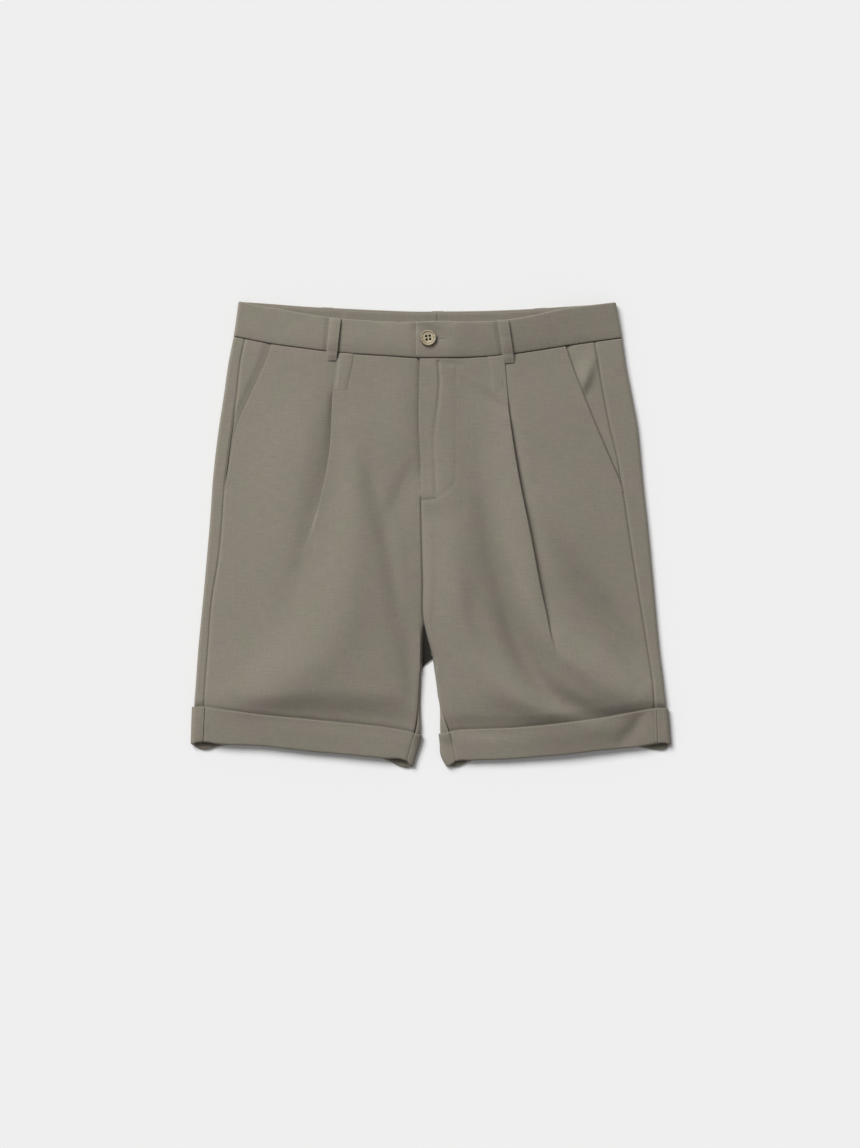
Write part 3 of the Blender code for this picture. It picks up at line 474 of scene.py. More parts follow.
# Folds of the turn-ups themselves.
CUFF_FOLDS = {
    "right": [
        # lower edge of the right turn-up, pushed up a little near its inseam
        fold((-90, -236, 0.8, 14, 8), (-50, -240, 1.2, 14, 8), (-30, -243, 0.6, 14, 8)),
    ],
    "left": [
        # upper edge of the left turn-up, standing off the leg
        fold(
            (84, -208, 0.6, 12, 20), (112, -206, 2.6, 12, 24), (145, -202, 4, 12, 26),
            (180, -197, 4.6, 12, 26), (206, -192, 3.4, 12, 22), (222, -189, 0.8, 12, 16),
        ),
        # diagonal crease below it
        fold((234, -186, -0.6, 8, 7), (222, -202, -1.6, 9, 7), (206, -222, -1.2, 9, 7)),
        # crease beside the inseam
        fold((22, -206, -0.8, 12, 8), (60, -212, -1.2, 12, 8), (96, -214, -0.6, 12, 8)),
    ],
}

# Small folds of the waistband.
BAND_FOLDS = [
    # hollow round the button
    fold((-13, 224, -1.4, 7, 7), (0, 220, -2.2, 7, 8), (14, 213, -1.2, 7, 7)),
    # creases under the upper edge
    fold((-60, 233, -0.4, 4, 3), (-54, 231, -0.8, 4, 3), (-47, 230, -0.4, 4, 3)),
    fold((-38, 232, -0.3, 4, 3), (-31, 230, -0.6, 4, 3), (-25, 230, -0.3, 4, 3)),
    fold((13, 231, -0.4, 4, 3), (20, 229, -0.8, 4, 3), (28, 230, -0.4, 4, 3)),
    # grooves beside the belt loops
    fold((-110, 236, -1.5, 1.6, 1.6), (-114, 192, -1.5, 1.6, 1.6)),
    fold((70, 234, -1.5, 1.6, 1.6), (77, 190, -1.5, 1.6, 1.6)),
    # slit of the buttonhole
    fold((4, 212, -0.9, 1.1, 1.1), (13, 212, -0.9, 1.1, 1.1)),
]

FRONT_LOOPS = {
    "right": {"top": (-102.9, 234), "bottom": (-107.8, 188)},
    "left": {"top": (77.3, 232.2), "bottom": (84.2, 185.5)},
}
BACK_LOOPS = {"right": -112, "centre": 7.2, "left": 118.0}

# How the front waistband stands up from its lower seam, and how it bows between its edges.
BAND_TILT = table(
    "x slope bow",
    (-210, 0, 0), (-100, 0, 0.2), (0, 0.01, 0.2), (30, 0.04, 0.2), (64, 0.06, 0.2), (110, 0.09, 0.2),
    (150, 0.09, 0.2), (185, 0.06, 0.1), (205, 0.02, 0),
)

POCKET_FOLDS = [
    # crease from the left mouth up to the side seam, with its steep flank towards the side
    fold((160, 149, 2.2, 8, 4), (166, 167, 4, 10, 6), (174, 188, 1.6, 10, 6)),
]

# Soft creases of the hidden back, which lift it a little off the surface.
BACK_FOLDS = [
    # from the seat down each leg
    fold((-70, 60, 0.3, 10, 14), (-96, -20, 1.1, 12, 16), (-128, -110, 0.6, 10, 16)),
    fold((84, 30, 0.4, 14, 10), (112, -60, 1.3, 16, 12), (150, -140, 0.5, 16, 12)),
    # across the seat, from the side folds
    fold((-196, 120, 0.4, 8, 12), (-140, 92, 1, 10, 12), (-88, 84, 0.3, 8, 10)),
    fold((186, 96, 0.4, 12, 8), (128, 66, 0.9, 12, 9), (70, 70, 0.3, 10, 8)),
    # beside the inseams
    fold((-30, -130, 0.3, 7, 9), (-52, -168, 0.9, 8, 10), (-92, -186, 0.4, 8, 10)),
    fold((24, -128, 0.3, 9, 7), (44, -160, 1, 10, 8), (88, -180, 0.4, 10, 8)),
    # above the turn-ups at the side folds
    fold((-236, -150, 0.3, 8, 10), (-205, -166, 1, 9, 11), (-160, -172, 0.4, 8, 10)),
    fold((236, -146, 0.3, 10, 8), (208, -160, 0.8, 11, 9), (170, -170, 0.4, 10, 8)),
]

# Middle of each front belt loop's cross stitching.
LOOP_TACK_Y = {"right": 215.5, "left": 214.0}

# The fly's curved topstitching, its bar tack, and the tacks at the ends of the pocket mouths.
J_STITCH = [(27.4, 184), (28.2, 140), (28.4, 96), (26.5, 66), (20.5, 53.5), (13, 46.5), (6, 42.8)]
FLY_TACK = [(5.5, 41.2), (-10, 40.2)]
POCKET_TACKS = {
    "right": [[(-169.5, 199), (-165, 198.6)], [(-218, 60), (-220, 52)]],
    "left": [[(143.5, 199.5), (147, 198)], [(200.5, 52.5), (206.5, 47)]],
}

# The slit of the buttonhole, and the round eye at its end: its radius, half of the angle that its
# stitches go round, and their number.
HOLE_Y = 211.8
HOLE_START = 3.0
HOLE_END = 12.4
EYE_RADIUS = 1.7
EYE_TURN = 2.3
EYE_STITCHES = 14


# -------- soft folds
LINE_STEPS = 6  # stretches of a smooth line from one of its points to the next
FOLD_REACH = 2.6  # widths from its line at which a fold has died out


def smooth_line(rows, steps=LINE_STEPS):
    """Points along a smooth curve through the points of a numbered table."""
    last = len(rows["x"]) - 1
    along = np.linspace(0, last, steps * last + 1)
    return np.stack([read(rows, "x", along), read(rows, "y", along)], axis=1)


def fold_height(shape, x, y):
    """Height that one fold adds at x, y."""
    line = smooth_line(shape)
    height = np.zeros(np.shape(x))
    reach = FOLD_REACH * max(shape["left"].max(), shape["right"].max())
    low = line.min(axis=0) - reach
    high = line.max(axis=0) + reach
    near = (x > low[0]) & (x < high[0]) & (y > low[1]) & (y < high[1])
    if not near.any():
        return height
    step = np.diff(line, axis=0)
    over_x = x[near][:, None] - line[:-1, 0]
    over_y = y[near][:, None] - line[:-1, 1]
    t = np.clip((over_x * step[:, 0] + over_y * step[:, 1]) / (step**2).sum(axis=1), 0, 1)
    off_x = over_x - t * step[:, 0]
    off_y = over_y - t * step[:, 1]
    squared = off_x**2 + off_y**2
    nearest = squared.argmin(axis=1)
    pick = np.arange(len(nearest)), nearest
    distance = np.sqrt(squared[pick])
    side = (step[nearest, 0] * off_y[pick] - step[nearest, 1] * off_x[pick]) / np.hypot(*step[nearest].T)
    lean = np.where(distance > 0, side / np.maximum(distance, 0.001), 0)
    at = (nearest + t[pick]) / LINE_STEPS
    right = read(shape, "right", at)
    width = right + (read(shape, "left", at) - right) * (1 + lean) / 2
    height[near] = read(shape, "height", at) * np.exp(-((distance / width) ** 2))
    return height


def folds_height(folds, x, y):
    return sum(fold_height(shape, x, y) for shape in folds)


def ripple(x, y, size):
    """Slight unevenness of laid cloth, about -1 to 1, with bumps of about the given size."""
    waves = [(0.3, 1.0, 0.4), (1.9, 0.83, 2.1), (2.6, 1.21, 4.4), (0.9, 0.71, 5.2), (1.3, 1.37, 1.3)]
    total = 0
    for angle, stretch, phase in waves:
        across = x * math.cos(angle) + y * math.sin(angle)
        total = total + np.sin(2 * math.pi * across / (size * stretch) + phase)
    return total / len(waves)


# -------- form of the garment
def of(side, column, y):
    """A column of the side's own tables, at height y."""
    rows = next(tables[side] for tables in (SIDES, INNER, PLEATS) if column in tables[side])
    return read(rows, column, y)


def painted_crease_shade(x, y):
    """Painted shade and light: the cloth's colour is darker in fold valleys and paler on ridges."""
    return 1 + np.clip(CREASE_PAINTED_SHADE * folds_height(FRONT_FOLDS, x, y), *CREASE_SHADE_LIMITS)


def by_crotch(y, rise):
    """1 beside the narrow gap between the legs just above the crotch, and 0 away from it."""
    start = CROTCH_Y - 16
    return blend(start, start + rise, y) * blend(CROTCH_Y + 46, CROTCH_Y + 32, y)


def hole_tone(x, y):
    """Hardly any light gets down into that gap."""
    between = blend(-0.2, 1.2, x - of("right", "reach", y)) * blend(-0.2, 1.0, of("left", "reach", y) - x)
    return 1 - GAP_SHADE * between * by_crotch(y, 5)


def painted_fold_light(side, x, y):
    """Painted light: paler cloth along the side folds, most on the wearer's left, which the key leaves in
    shade.
    """
    return 1 + FOLD_PAINTED_LIGHT[side] * blend(3.2, 0.4, np.abs(of(side, "fold", y) - x))


def top_height(x, y):
    """Height of the front's outer face over the surface, without pleats, laps and seams."""
    right_fold, left_fold = of("right", "fold", y), of("left", "fold", y)
    right_reach, left_reach = of("right", "reach", y), of("left", "reach", y)
    across = 2 * (x - right_fold) / (left_fold - right_fold) - 1
    hip = read(THICKNESS, "hip", y) * (1 - across**2)
    on_left = x > (right_reach + left_reach) / 2
    outer = np.where(on_left, left_fold, right_fold)
    inner = np.where(on_left, left_reach, right_reach)
    share = np.clip((x - outer) / (inner - outer), 0, 1)
    leg = read(THICKNESS, "leg", y) * 4 * share * (1 - share)
    uneven = folds_height(FRONT_FOLDS, x, y) + 0.10 * ripple(x, y, 34) + 0.025 * ripple(y, x, 9)
    return read(THICKNESS, "side", y) + hip + leg + uneven


def under_height(side, x, y):
    """Height of the back's outer face: 0 where it rests, more over the loops and turn-ups."""
    below_waist = read(WAIST_SEAM, "back", x) - y
    above_cuff = y - read(CUFF_TOP[side], "back", x)
    lifted = WAIST_LIFT * blend(28, 7, below_waist) + CUFF_LIFT * blend(26, 6, above_cuff)
    return lifted + folds_height(BACK_FOLDS, x, y)


def centre_back(y):
    return of("left", "low", np.maximum(y, CROTCH_Y))


def shoulder(side, y):
    """Where the top of the garment starts to round down into its side fold."""
    return of(side, "fold", y) - OUTWARD[side] * SIDE_TURN


def inner_shoulder(side, y):
    """Where the front starts to round down towards its inner seam."""
    out = OUTWARD[side]
    turn = 5 + 7 * blend(FLY_END_Y, 10, y) * blend(-104, -70, y) - NARROW_TURN[side] * blend(-90, -112, y)
    seam = of(side, "inseam", y) + out * turn
    reach = of(side, "reach", y) + out * turn
    return np.where(y < FLY_END_Y, out * np.maximum(out * seam, out * reach), seam)


def inner_seam(side, y, part):
    """Place and height of a panel's edge at the inner seam, with part 1 for the front, -1 the back."""
    gap = SEAM_GAP + (CUFF_SEAM_GAP - SEAM_GAP) * blend(CUFF_Y + 10, CUFF_Y, y)
    x = of(side, "inseam", y) + part * OUTWARD[side] * gap / 2
    rise = np.minimum(of(side, "rise", y), 1)
    sunk = 0.5 * blend(FLY_END_Y, FLY_END_Y - 12, y)
    return x, rise * top_height(x, y) - sunk + part * WALL_SEAM_GAP / 2 * blend(1, 0.8, rise)


def fly_lift(side, x, y):
    """How far the wearer's left front is raised where it laps over the right one."""
    past_edge = x - of("left", "inseam", y)
    if side == "right":
        return -UNDER_LAP_DIP * np.exp(np.minimum(past_edge, 0) / 5) * blend(FLY_END_Y, FLY_END_Y + 30, y)
    return LAP_LIFT * blend(UNDERLAP + 32, UNDERLAP + 3, past_edge) * blend(FLY_END_Y - 26, FLY_END_Y, y)


def band_lift(side, x):
    """The same for the end of the wearer's left waistband."""
    if side == "right":
        return -BAND_END_DIP * blend(-24, -14, x)
    return BAND_LAP_LIFT * blend(UNDERLAP + 34, UNDERLAP - 2, x)


def cuff_drop(side, x, y):
    """How far the upper layer sinks just above its turn-up; it comes up again inside it."""
    above = y - read(CUFF_TOP[side], "front", x)
    reach = read(ABOVE_CUFF[side], "reach", x)
    drop = read(ABOVE_CUFF[side], "drop", x) * blend(reach, CUFF_REST[side] * reach, above)
    return (drop + CUFF_TUCK * np.exp(-np.maximum(above, 0) / 1.4)) * blend(-16, 0, above)


def front_surface(side, x, y):
    """Height of a front panel away from its pleat and inner seam, with its dips at waist and cuff."""
    past_waist = y - read(WAIST_SEAM, "front", x) + WAIST_GAP / 2
    waist = 2.5 * blend(-0.9, 0.6, past_waist) + 0.25 * blend(-9, 0, past_waist)
    return top_height(x, y) + fly_lift(side, x, y) - waist - cuff_drop(side, x, y)


def seam_roll(side, distance):
    """How far cloth rolls down at the given distance from a side seam."""
    return SEAM_DEPTH[side] * np.exp(-((distance / 1.2) ** 2))


def outer_edge(side, y):
    """Outer edge of a front panel: the pocket mouth, then the side seam."""
    return of(side, "mouth", y) - OUTWARD[side] * SEAM_GAP / 2


# -------- columns
# Each function that ends in _columns gives the x and z of some columns of a piece, at the heights y
# of their rows. share runs from 0 to 1 over the named stretch, in the order in which the cloth runs
# from the fly round the side to the inseam.
def inner_columns(side, share, y):
    """Front panel, from its inner seam up to where the front lies level."""
    angle = (1 - share) * math.pi / 2
    seam_x, seam_z = inner_seam(side, y, 1)
    level_x = inner_shoulder(side, y)
    x = level_x + (seam_x - level_x) * np.sin(angle)
    level_z = front_surface(side, level_x, y)
    on_wall = blend(1, 0.6, of(side, "rise", y))
    share_z = on_wall * np.cos(angle) + (1 - on_wall) * (1 - np.sin(angle) ** 2)
    in_hole = by_crotch(y, 10)
    brink = of(side, "reach", y)
    hole_x = seam_x + (brink - seam_x) * blend(0, 0.4, share) + (level_x - brink) * blend(0.5, 1, share)
    x = x + (hole_x - x) * in_hole
    share_z = share_z + (blend(0.3, 0.95, share) - share_z) * in_hole
    seam_z = seam_z + front_surface(side, x, y) - top_height(x, y)
    groove = CENTRE_GROOVE * np.exp(-(((x - seam_x) / 1.3) ** 2)) * blend(FLY_END_Y, FLY_END_Y - 10, y)
    return x, seam_z + (level_z - seam_z) * share_z - groove * (1 - in_hole)


def pleat_start(side, y):
    """How folded a pleat is, half the height of the bend at its edge, and where the bend starts."""
    folded = np.clip(of(side, "folded", y), 0, 1)
    radius = np.maximum((of(side, "crest", y) + of(side, "sink", y)) / 2 - TUCK_RADIUS, 0.35)
    return folded, radius, folded * np.minimum(radius, PLEAT_NOSE) + (1 - folded) * OPEN_HALF


def inside_pleat(side, inward, y):
    """x and z at distances inward from the pleat's edge, towards which the cloth rises."""
    x = of(side, "edge", y) - OUTWARD[side] * inward
    return x, front_surface(side, x, y) + of(side, "crest", y) * np.exp(-((inward / CREST_REACH) ** 2))


def outside_pleat(side, outward, y):
    """x and z at distances outward from the pleat's edge, beside which the cloth is sunk."""
    x = of(side, "edge", y) + OUTWARD[side] * outward
    sunk = of(side, "sink", y) * np.exp(-((np.maximum(outward, 0) / of(side, "wide", y)) ** 1.25))
    return x, front_surface(side, x, y) - sunk


def level_columns(side, share, y):
    """Front cloth between the inner rounding and the pleat's top layer."""
    start = OUTWARD[side] * (of(side, "edge", y) - inner_shoulder(side, y))
    end = of(side, "depth", y) + RELAX_IN
    return inside_pleat(side, start + (end - start) * share, y)


def crest_columns(side, share, y):
    """The pleat's top layer, from where it lies level to where it bends round its edge."""
    start = of(side, "depth", y) + RELAX_IN
    end = pleat_start(side, y)[2]
    return inside_pleat(side, start + (end - start) * share, y)


def pleat_columns(side, share, y):
    """Round the pleat's edge, back under it, round its tuck and out again; opened out lower down."""
    folded, radius, _ = pleat_start(side, y)
    depth = of(side, "depth", y)
    top = of(side, "crest", y)
    low = -of(side, "sink", y)
    nose = np.minimum(radius, PLEAT_NOSE)
    x = np.zeros(y.shape)
    level = np.zeros(y.shape)
    for number in range(PLEAT_COLUMNS):
        past_bend = number - BEND_STEPS
        past_hidden = past_bend - HIDDEN_STEPS
        past_tuck = past_hidden - TUCK_STEPS
        if past_bend < 0:
            angle = math.pi * number / BEND_STEPS
            inward = nose * (1 - math.sin(angle))
            height = top - radius * (1 - math.cos(angle))
        elif past_hidden < 0:
            inward = nose + (depth - nose) * past_bend / HIDDEN_STEPS
            height = top - 2 * radius
        elif past_tuck < 0:
            angle = math.pi * past_hidden / TUCK_STEPS
            inward = depth + TUCK_RADIUS * math.sin(angle)
            height = top - 2 * radius - TUCK_RADIUS * (1 - math.cos(angle))
        else:
            inward = depth * (1 - past_tuck / HIDDEN_STEPS)
            height = np.minimum(low, top - 2 * radius - 2 * TUCK_RADIUS)
        even = number / PLEAT_COLUMNS
        open_height = top + (low - top) * blend(0, 1, even)
        inward = folded * inward + (1 - folded) * OPEN_HALF * (1 - 2 * even)
        column = np.s_[:, number]
        x[column] = (of(side, "edge", y) - OUTWARD[side] * inward)[column]
        level[column] = (folded * height + (1 - folded) * open_height)[column]
    return x, front_surface(side, x, y) + level


def sink_columns(side, share, y):
    """The cloth that comes out from under the pleat, until it lies level."""
    start = (1 - pleat_start(side, y)[0]) * OPEN_HALF
    return outside_pleat(side, start + (RELAX_OUT - start) * share, y)


def outer_columns(side, share, y):
    """From beside the pleat to near the pocket mouth or side seam."""
    end = OUTWARD[side] * (outer_edge(side, y) - of(side, "edge", y)) - EDGE_ZONE
    return outside_pleat(side, RELAX_OUT + (end - RELAX_OUT) * share, y)


def edge_columns(side, share, y):
    """The last stretch to the pocket mouth or side seam, where the cloth rolls down to it."""
    distance = EDGE_ZONE * (1 - share)
    x = outer_edge(side, y) - OUTWARD[side] * distance
    roll = seam_roll(side, distance) * blend(POCKET_END_Y + 4, POCKET_END_Y - 8, y)
    return x, front_surface(side, x, y) - roll


def whole_columns(side, share, y):
    """A front turn-up's cloth, level from the inner rounding to near the side seam."""
    start = inner_shoulder(side, y)
    x = start + (outer_edge(side, y) - OUTWARD[side] * EDGE_ZONE - start) * share
    return x, front_surface(side, x, y)


def strip_columns(side, share, y):
    """Back panel, from the side seam to where it rounds down."""
    start = of(side, "seam", y) + OUTWARD[side] * SEAM_GAP / 2
    x = start + (shoulder(side, y) - start) * share
    return x, front_surface(side, x, y) - seam_roll(side, np.abs(x - start))


def round_side(side, share, y, top, low):
    """Round the side fold, from the height top to the height low."""
    angle = math.pi * (0.5 - share)
    x = shoulder(side, y) + OUTWARD[side] * SIDE_TURN * np.cos(angle)
    return x, low + (top - low) * (1 + np.sin(angle)) / 2


def turn_columns(side, share, y):
    """Back panel, round the side fold from the top to the underside."""
    x = shoulder(side, y)
    return round_side(side, share, y, front_surface(side, x, y), under_height(side, x, y))


def under_columns(side, share, y):
    """Along the underside, from the side fold to near the inner seam."""
    inner = np.where(y > CROTCH_Y, centre_back(y), of(side, "low", y)) + OUTWARD[side] * BACK_TURN
    outer = shoulder(side, y)
    x = outer + (inner - outer) * share
    return x, under_height(side, x, y)


def inseam_columns(side, share, y):
    """From the underside up to the inseam, or level to the centre back seam above the crotch."""
    angle = share * math.pi / 2
    in_leg = y < CROTCH_Y + 1
    seam_x, seam_z = inner_seam(side, y, -1)
    low_x = np.where(in_leg, of(side, "low", y), centre_back(y))
    foot_x = low_x + OUTWARD[side] * BACK_TURN
    end_x = np.where(in_leg, seam_x, low_x + OUTWARD[side] * SEAM_GAP / 2)
    bulge = np.maximum(OUTWARD[side] * (end_x - low_x), 0)
    x = foot_x + (end_x - foot_x) * np.sin(angle) - OUTWARD[side] * bulge * np.sin(2 * angle)
    low_z = under_height(side, foot_x, y)
    end_z = np.where(in_leg, seam_z, low_z)
    on_wall = blend(1, 0.6, np.minimum(of(side, "rise", y), 1))
    share_z = on_wall * (1 - np.cos(angle)) + (1 - on_wall) * (1 - np.cos(2 * angle)) / 2
    roll = 0.6 * np.where(in_leg, 0, np.exp(-(((x - end_x) / 1.1) ** 2)))
    return x, low_z + (end_z - low_z) * share_z + roll


def band_surface(side, x, y):
    """Upper face of the front waistband."""
    above_seam = y - read(WAIST_SEAM, "front", x)
    share = np.clip(above_seam / BAND_WIDTH, 0, 1)
    tilt = read(BAND_TILT, "slope", x) * above_seam + read(BAND_TILT, "bow", x) * 4 * share * (1 - share)
    roll = 0.5 * blend(10, 0, above_seam) + 0.35 * blend(2.4, 0, above_seam)
    folds = folds_height(BAND_FOLDS, x, y)
    return top_height(x, y) + BAND_PROUD + band_lift(side, x) + tilt + folds - roll


def band_top_columns(side, share, y):
    start = BAND_ENDS[side]
    x = start + (shoulder(side, y) - start) * share
    return x, band_surface(side, x, y)


def band_turn_columns(side, share, y):
    return round_side(side, share, y, band_surface(side, shoulder(side, y), y), WAIST_LIFT)


def band_under_columns(side, share, y):
    outer = shoulder(side, y)
    inner = centre_back(y) + OUTWARD[side] * SEAM_GAP / 2
    x = outer + (inner - outer) * share
    return x, WAIST_LIFT + 0.5 * np.exp(-(((x - inner) / 1.1) ** 2))


def pocket_columns(side, share, y):
    """From under the front panel to the side seam. The height is worked out later."""
    seam = of(side, "seam", y) - OUTWARD[side] * SEAM_GAP / 2
    hidden = of(side, "mouth", y) - OUTWARD[side] * MOUTH_UNDERLAP
    return hidden + (seam - hidden) * share, y


# -------- grids of cloth
def shares(count, gather=1.0, end=False):
    """Even steps from 0 towards 1, closer together near 1 with gather over 1."""
    steps = 1 - (1 - np.linspace(0, 1, count + 1)) ** gather
    return steps if end else steps[:-1]


def first_shares(count, gather):
    """The same, closer together near 0."""
    return 1 - shares(count, gather, end=True)[:0:-1]


FRONT_STRIPS = [
    (inner_columns, shares(16)),
    (level_columns, shares(40)),
    (crest_columns, shares(15, 1.5)),
    (pleat_columns, shares(PLEAT_COLUMNS)),
    (sink_columns, first_shares(12, 1.5)),
    (outer_columns, shares(28)),
    (edge_columns, shares(5, 1.6, end=True)),
]
CUFF_STRIPS = [
    (inner_columns, shares(12)),
    (whole_columns, shares(90)),
    (edge_columns, shares(6, 1.6, end=True)),
]
BACK_STRIPS = [
    (strip_columns, first_shares(14, 1.8)),
    (turn_columns, shares(14)),
    (under_columns, shares(64)),
    (inseam_columns, shares(12, 1.3, end=True)),
]
BAND_STRIPS = [
    (band_top_columns, shares(92)),
    (band_turn_columns, shares(14)),
    (band_under_columns, shares(60, end=True)),
]
LEG_STEP = 2.2
ROWS_BEND_UP = 40.0  # from here upwards the rows bend along with the waist seam
ROWS_BEND_DOWN = -110.0  # from here downwards they bend along with the turn-up
LEG_HEIGHTS = np.concatenate(
    [
        WAIST_Y - np.array([-5.0, -2.5, -1.0, -0.3, 0.3, 0.8, 1.3, 1.9, 2.8]),
        np.linspace(WAIST_Y - 4.2, CUFF_Y + 1, int((WAIST_Y - CUFF_Y - 5.2) / LEG_STEP)),
    ]
)


def lay(side, strips, y):
    """x and z of all the columns of some strips, at the heights y."""
    ends = np.cumsum([len(share) for _, share in strips])[:-1]
    heights = np.split(y, ends, axis=1)
    parts = [columns(side, share, some) for (columns, share), some in zip(strips, heights)]
    return [np.concatenate(values, axis=1) for values in zip(*parts)]


def edge(rows, layer, x):
    """An edge across the garment, with layer 0 on the front and 1 on the back."""
    return (1 - layer) * read(rows, "front", x) + layer * read(rows, "back", x)


def crossing(side, strips, layer, rows):
    """The y at which each column crosses an edge."""
    y = np.full((1, sum(len(share) for _, share in strips)), rows["front"].mean())
    for _ in range(6):
        y = edge(rows, layer, lay(side, strips, y)[0])
    return y


def back_layers(at_waist=False):
    """0 for the columns of a back piece that lie on the front, 1 for those below, and between."""
    top, turn, under, inseam = (share for _, share in BACK_STRIPS)
    up = 0 * inseam if at_waist else inseam
    return np.concatenate([0 * top, turn, 1 + 0 * under, 1 - up])


def as_grid(side, *places):
    """Columns as a grid of rows whose outer face looks outwards."""
    grid = np.stack(places, axis=2)
    return grid[:, ::-1] if side == "right" else grid


def leg_rows(height, waist):
    """y of the rows of a panel, of which the upper ones bend along with the waist seam."""
    return height + (waist - WAIST_Y) * blend(ROWS_BEND_UP, WAIST_Y, height)


def panel(side, strips, layer=0, waist_layer=0):
    """Outer face of a panel, from under the waistband down into the turn-up."""
    waist = crossing(side, strips, waist_layer, WAIST_SEAM) - WAIST_GAP / 2
    cuff_top = crossing(side, strips, layer, CUFF_TOP[side])
    hem = crossing(side, strips, layer, HEM[side]) + HEM_INSET
    height = LEG_HEIGHTS[:, None]
    y = leg_rows(height, waist) + (cuff_top - CUFF_Y) * blend(ROWS_BEND_DOWN, CUFF_Y, height)
    y = np.concatenate([y, cuff_top + (hem - cuff_top) * np.linspace(0, 1, 9)[:, None]])
    x, z = lay(side, strips, y)
    return as_grid(side, x, y, z)


def normals(grid):
    """Outward directions of a grid, whose rows run down and columns to the right seen from outside."""
    out = np.cross(np.gradient(grid, axis=0), np.gradient(grid, axis=1))
    return out / np.maximum(np.linalg.norm(out, axis=2, keepdims=True), 1e-9)


def cuff(side, strips, layer):
    """Outer face of a turn-up: from its top edge down, round the hem and a little way up inside."""
    radius = (CUFF_LIFT + HEM_FOLD) / 2
    top = crossing(side, strips, layer, CUFF_TOP[side]) - CUFF_WALL / 2
    hem = crossing(side, strips, layer, HEM[side]) + radius
    share = np.concatenate([[0, 0.02, 0.05], np.linspace(0.09, 1, 16)])[:, None]
    y = top + (hem - top) * share
    x, z = lay(side, strips, y)
    folds = folds_height(CUFF_FOLDS[side], x, y)
    z = z + (CUFF_STANDS_OFF * cuff_drop(side, x, y) + folds) * (1 - layer)
    base = as_grid(side, x, y, z)
    out = normals(base)
    grid = base + CUFF_LIFT * out
    grid[0] -= 0.25 * out[0]
    last = grid[-1]
    down = last - grid[-3]
    down -= (down * out[-1]).sum(axis=1, keepdims=True) * out[-1]
    down /= np.linalg.norm(down, axis=1, keepdims=True)
    centre = last - radius * out[-1]
    turned = []
    for angle in np.linspace(0, math.pi, 9)[1:]:
        turned.append(centre + radius * (math.cos(angle) * out[-1] + math.sin(angle) * down))
    for back in (2.0, 5.0, 9.0):
        turned.append(centre - radius * out[-1] - back * down)
    wall = np.repeat([CUFF_WALL, CLOTH], [len(grid), len(turned)])[:, None]
    # Painted shade: the top rows are up to 12% darker, dimming the highlight on the upper edge, and the rows
    # round the hem and up inside get painted shade too.
    tone = np.concatenate([1 - 0.12 * blend(0.04, 0, share[:, 0]), INSIDE_PAINTED_SHADE])[:, None]
    return np.concatenate([grid, turned]), wall, tone


def band(side):
    """Outer face of a waistband half, from the fly round the side fold to the centre back."""
    top_share, turn, under = (share for _, share in BAND_STRIPS)
    layer = np.concatenate([0 * top_share, turn, 1 + 0 * under])
    top = crossing(side, BAND_STRIPS, layer, BAND_TOP) - BAND_WALL / 2
    seam = crossing(side, BAND_STRIPS, layer, WAIST_SEAM) + WAIST_GAP / 2 + BAND_WALL / 2
    y = top + (seam - top) * np.linspace(0, 1, 22)[:, None]
    x, z = lay(side, BAND_STRIPS, y)
    return as_grid(side, x, y, z)


def facing(side):
    """Upper face of a back waistband facing, which lies on the inside of the waistband."""
    level = WAIST_LIFT + BAND_WALL + LAYER_GAP + FACING_WALL
    reach = np.linspace(SEAM_GAP / 2 + FACING_WALL / 2, FACING_REACH, 80)[None, :]
    x = np.repeat(centre_back(WAIST_Y) + OUTWARD[side] * reach, 14, axis=0)
    top = read(BAND_TOP, "back", x) - FACING_DROP - FACING_WALL / 2
    y = top + (read(WAIST_SEAM, "back", x) - top) * np.linspace(0, 1, 14)[:, None]
    return as_grid(side, x, y, level + 0.25 * ripple(x, y, 17) + 0.35 * blend(4, 0, top - y))


def pocket(side):
    """Outer face of a pocket bearer: behind the front panel, level with it at the side seam."""
    share = shares(30, 1.5, end=True)
    waist = crossing(side, [(pocket_columns, share)], 0, WAIST_SEAM) - WAIST_GAP / 2
    height = LEG_HEIGHTS[LEG_HEIGHTS > POCKET_END_Y - 4][:, None]
    y = leg_rows(height, waist)
    x, _ = pocket_columns(side, share, y)
    past_mouth = OUTWARD[side] * (x - of(side, "mouth", y))
    sunk = POCKET_STEP * blend(12, 2, past_mouth) + seam_roll(side, np.abs(x - x[:, -1:]))
    crevice = POCKET_CREVICE[side] * np.exp(-(((past_mouth - 0.2) / 1.5) ** 2))
    sunk = sunk + crevice * blend(POCKET_END_Y, POCKET_END_Y + 14, height)
    folds = folds_height(POCKET_FOLDS, x, y) * blend(-1, 3, past_mouth)
    return as_grid(side, x, y, front_surface(side, x, y) - sunk + folds)


def front_loop(side):
    """Outer face of a belt loop over the front waistband."""
    top, bottom = (np.array(FRONT_LOOPS[side][end]) for end in ("top", "bottom"))
    inset = LOOP_WALL / 2
    half = LOOP_WIDTH / 2 - inset
    across = np.linspace(-half, half, 13)[None, :]
    length = top[1] - bottom[1]
    down = np.linspace(inset / length, 1 - inset / length, 34)[:, None]
    x = top[0] + (bottom[0] - top[0]) * down + across
    y = top[1] + (bottom[1] - top[1]) * down + 0 * across
    under = band_surface(side, x, np.maximum(y, read(WAIST_SEAM, "front", x)))
    ends = 0.5 * blend(0.08, 0, down) + 1.2 * blend(0.84, 1, down)
    crown = 0.28 * (1 - (across / half) ** 2) - 0.14 * np.exp(-(((np.abs(across) - half + 2.1) / 0.7) ** 2))
    tack = 0.22 * np.exp(-(((y - LOOP_TACK_Y[side]) / 1.1) ** 2))
    z = under + LOOP_STAND + LOOP_WALL + LOOP_BOW * np.sin(math.pi * down) - ends + crown - tack
    return np.stack([x, y, z], axis=2)


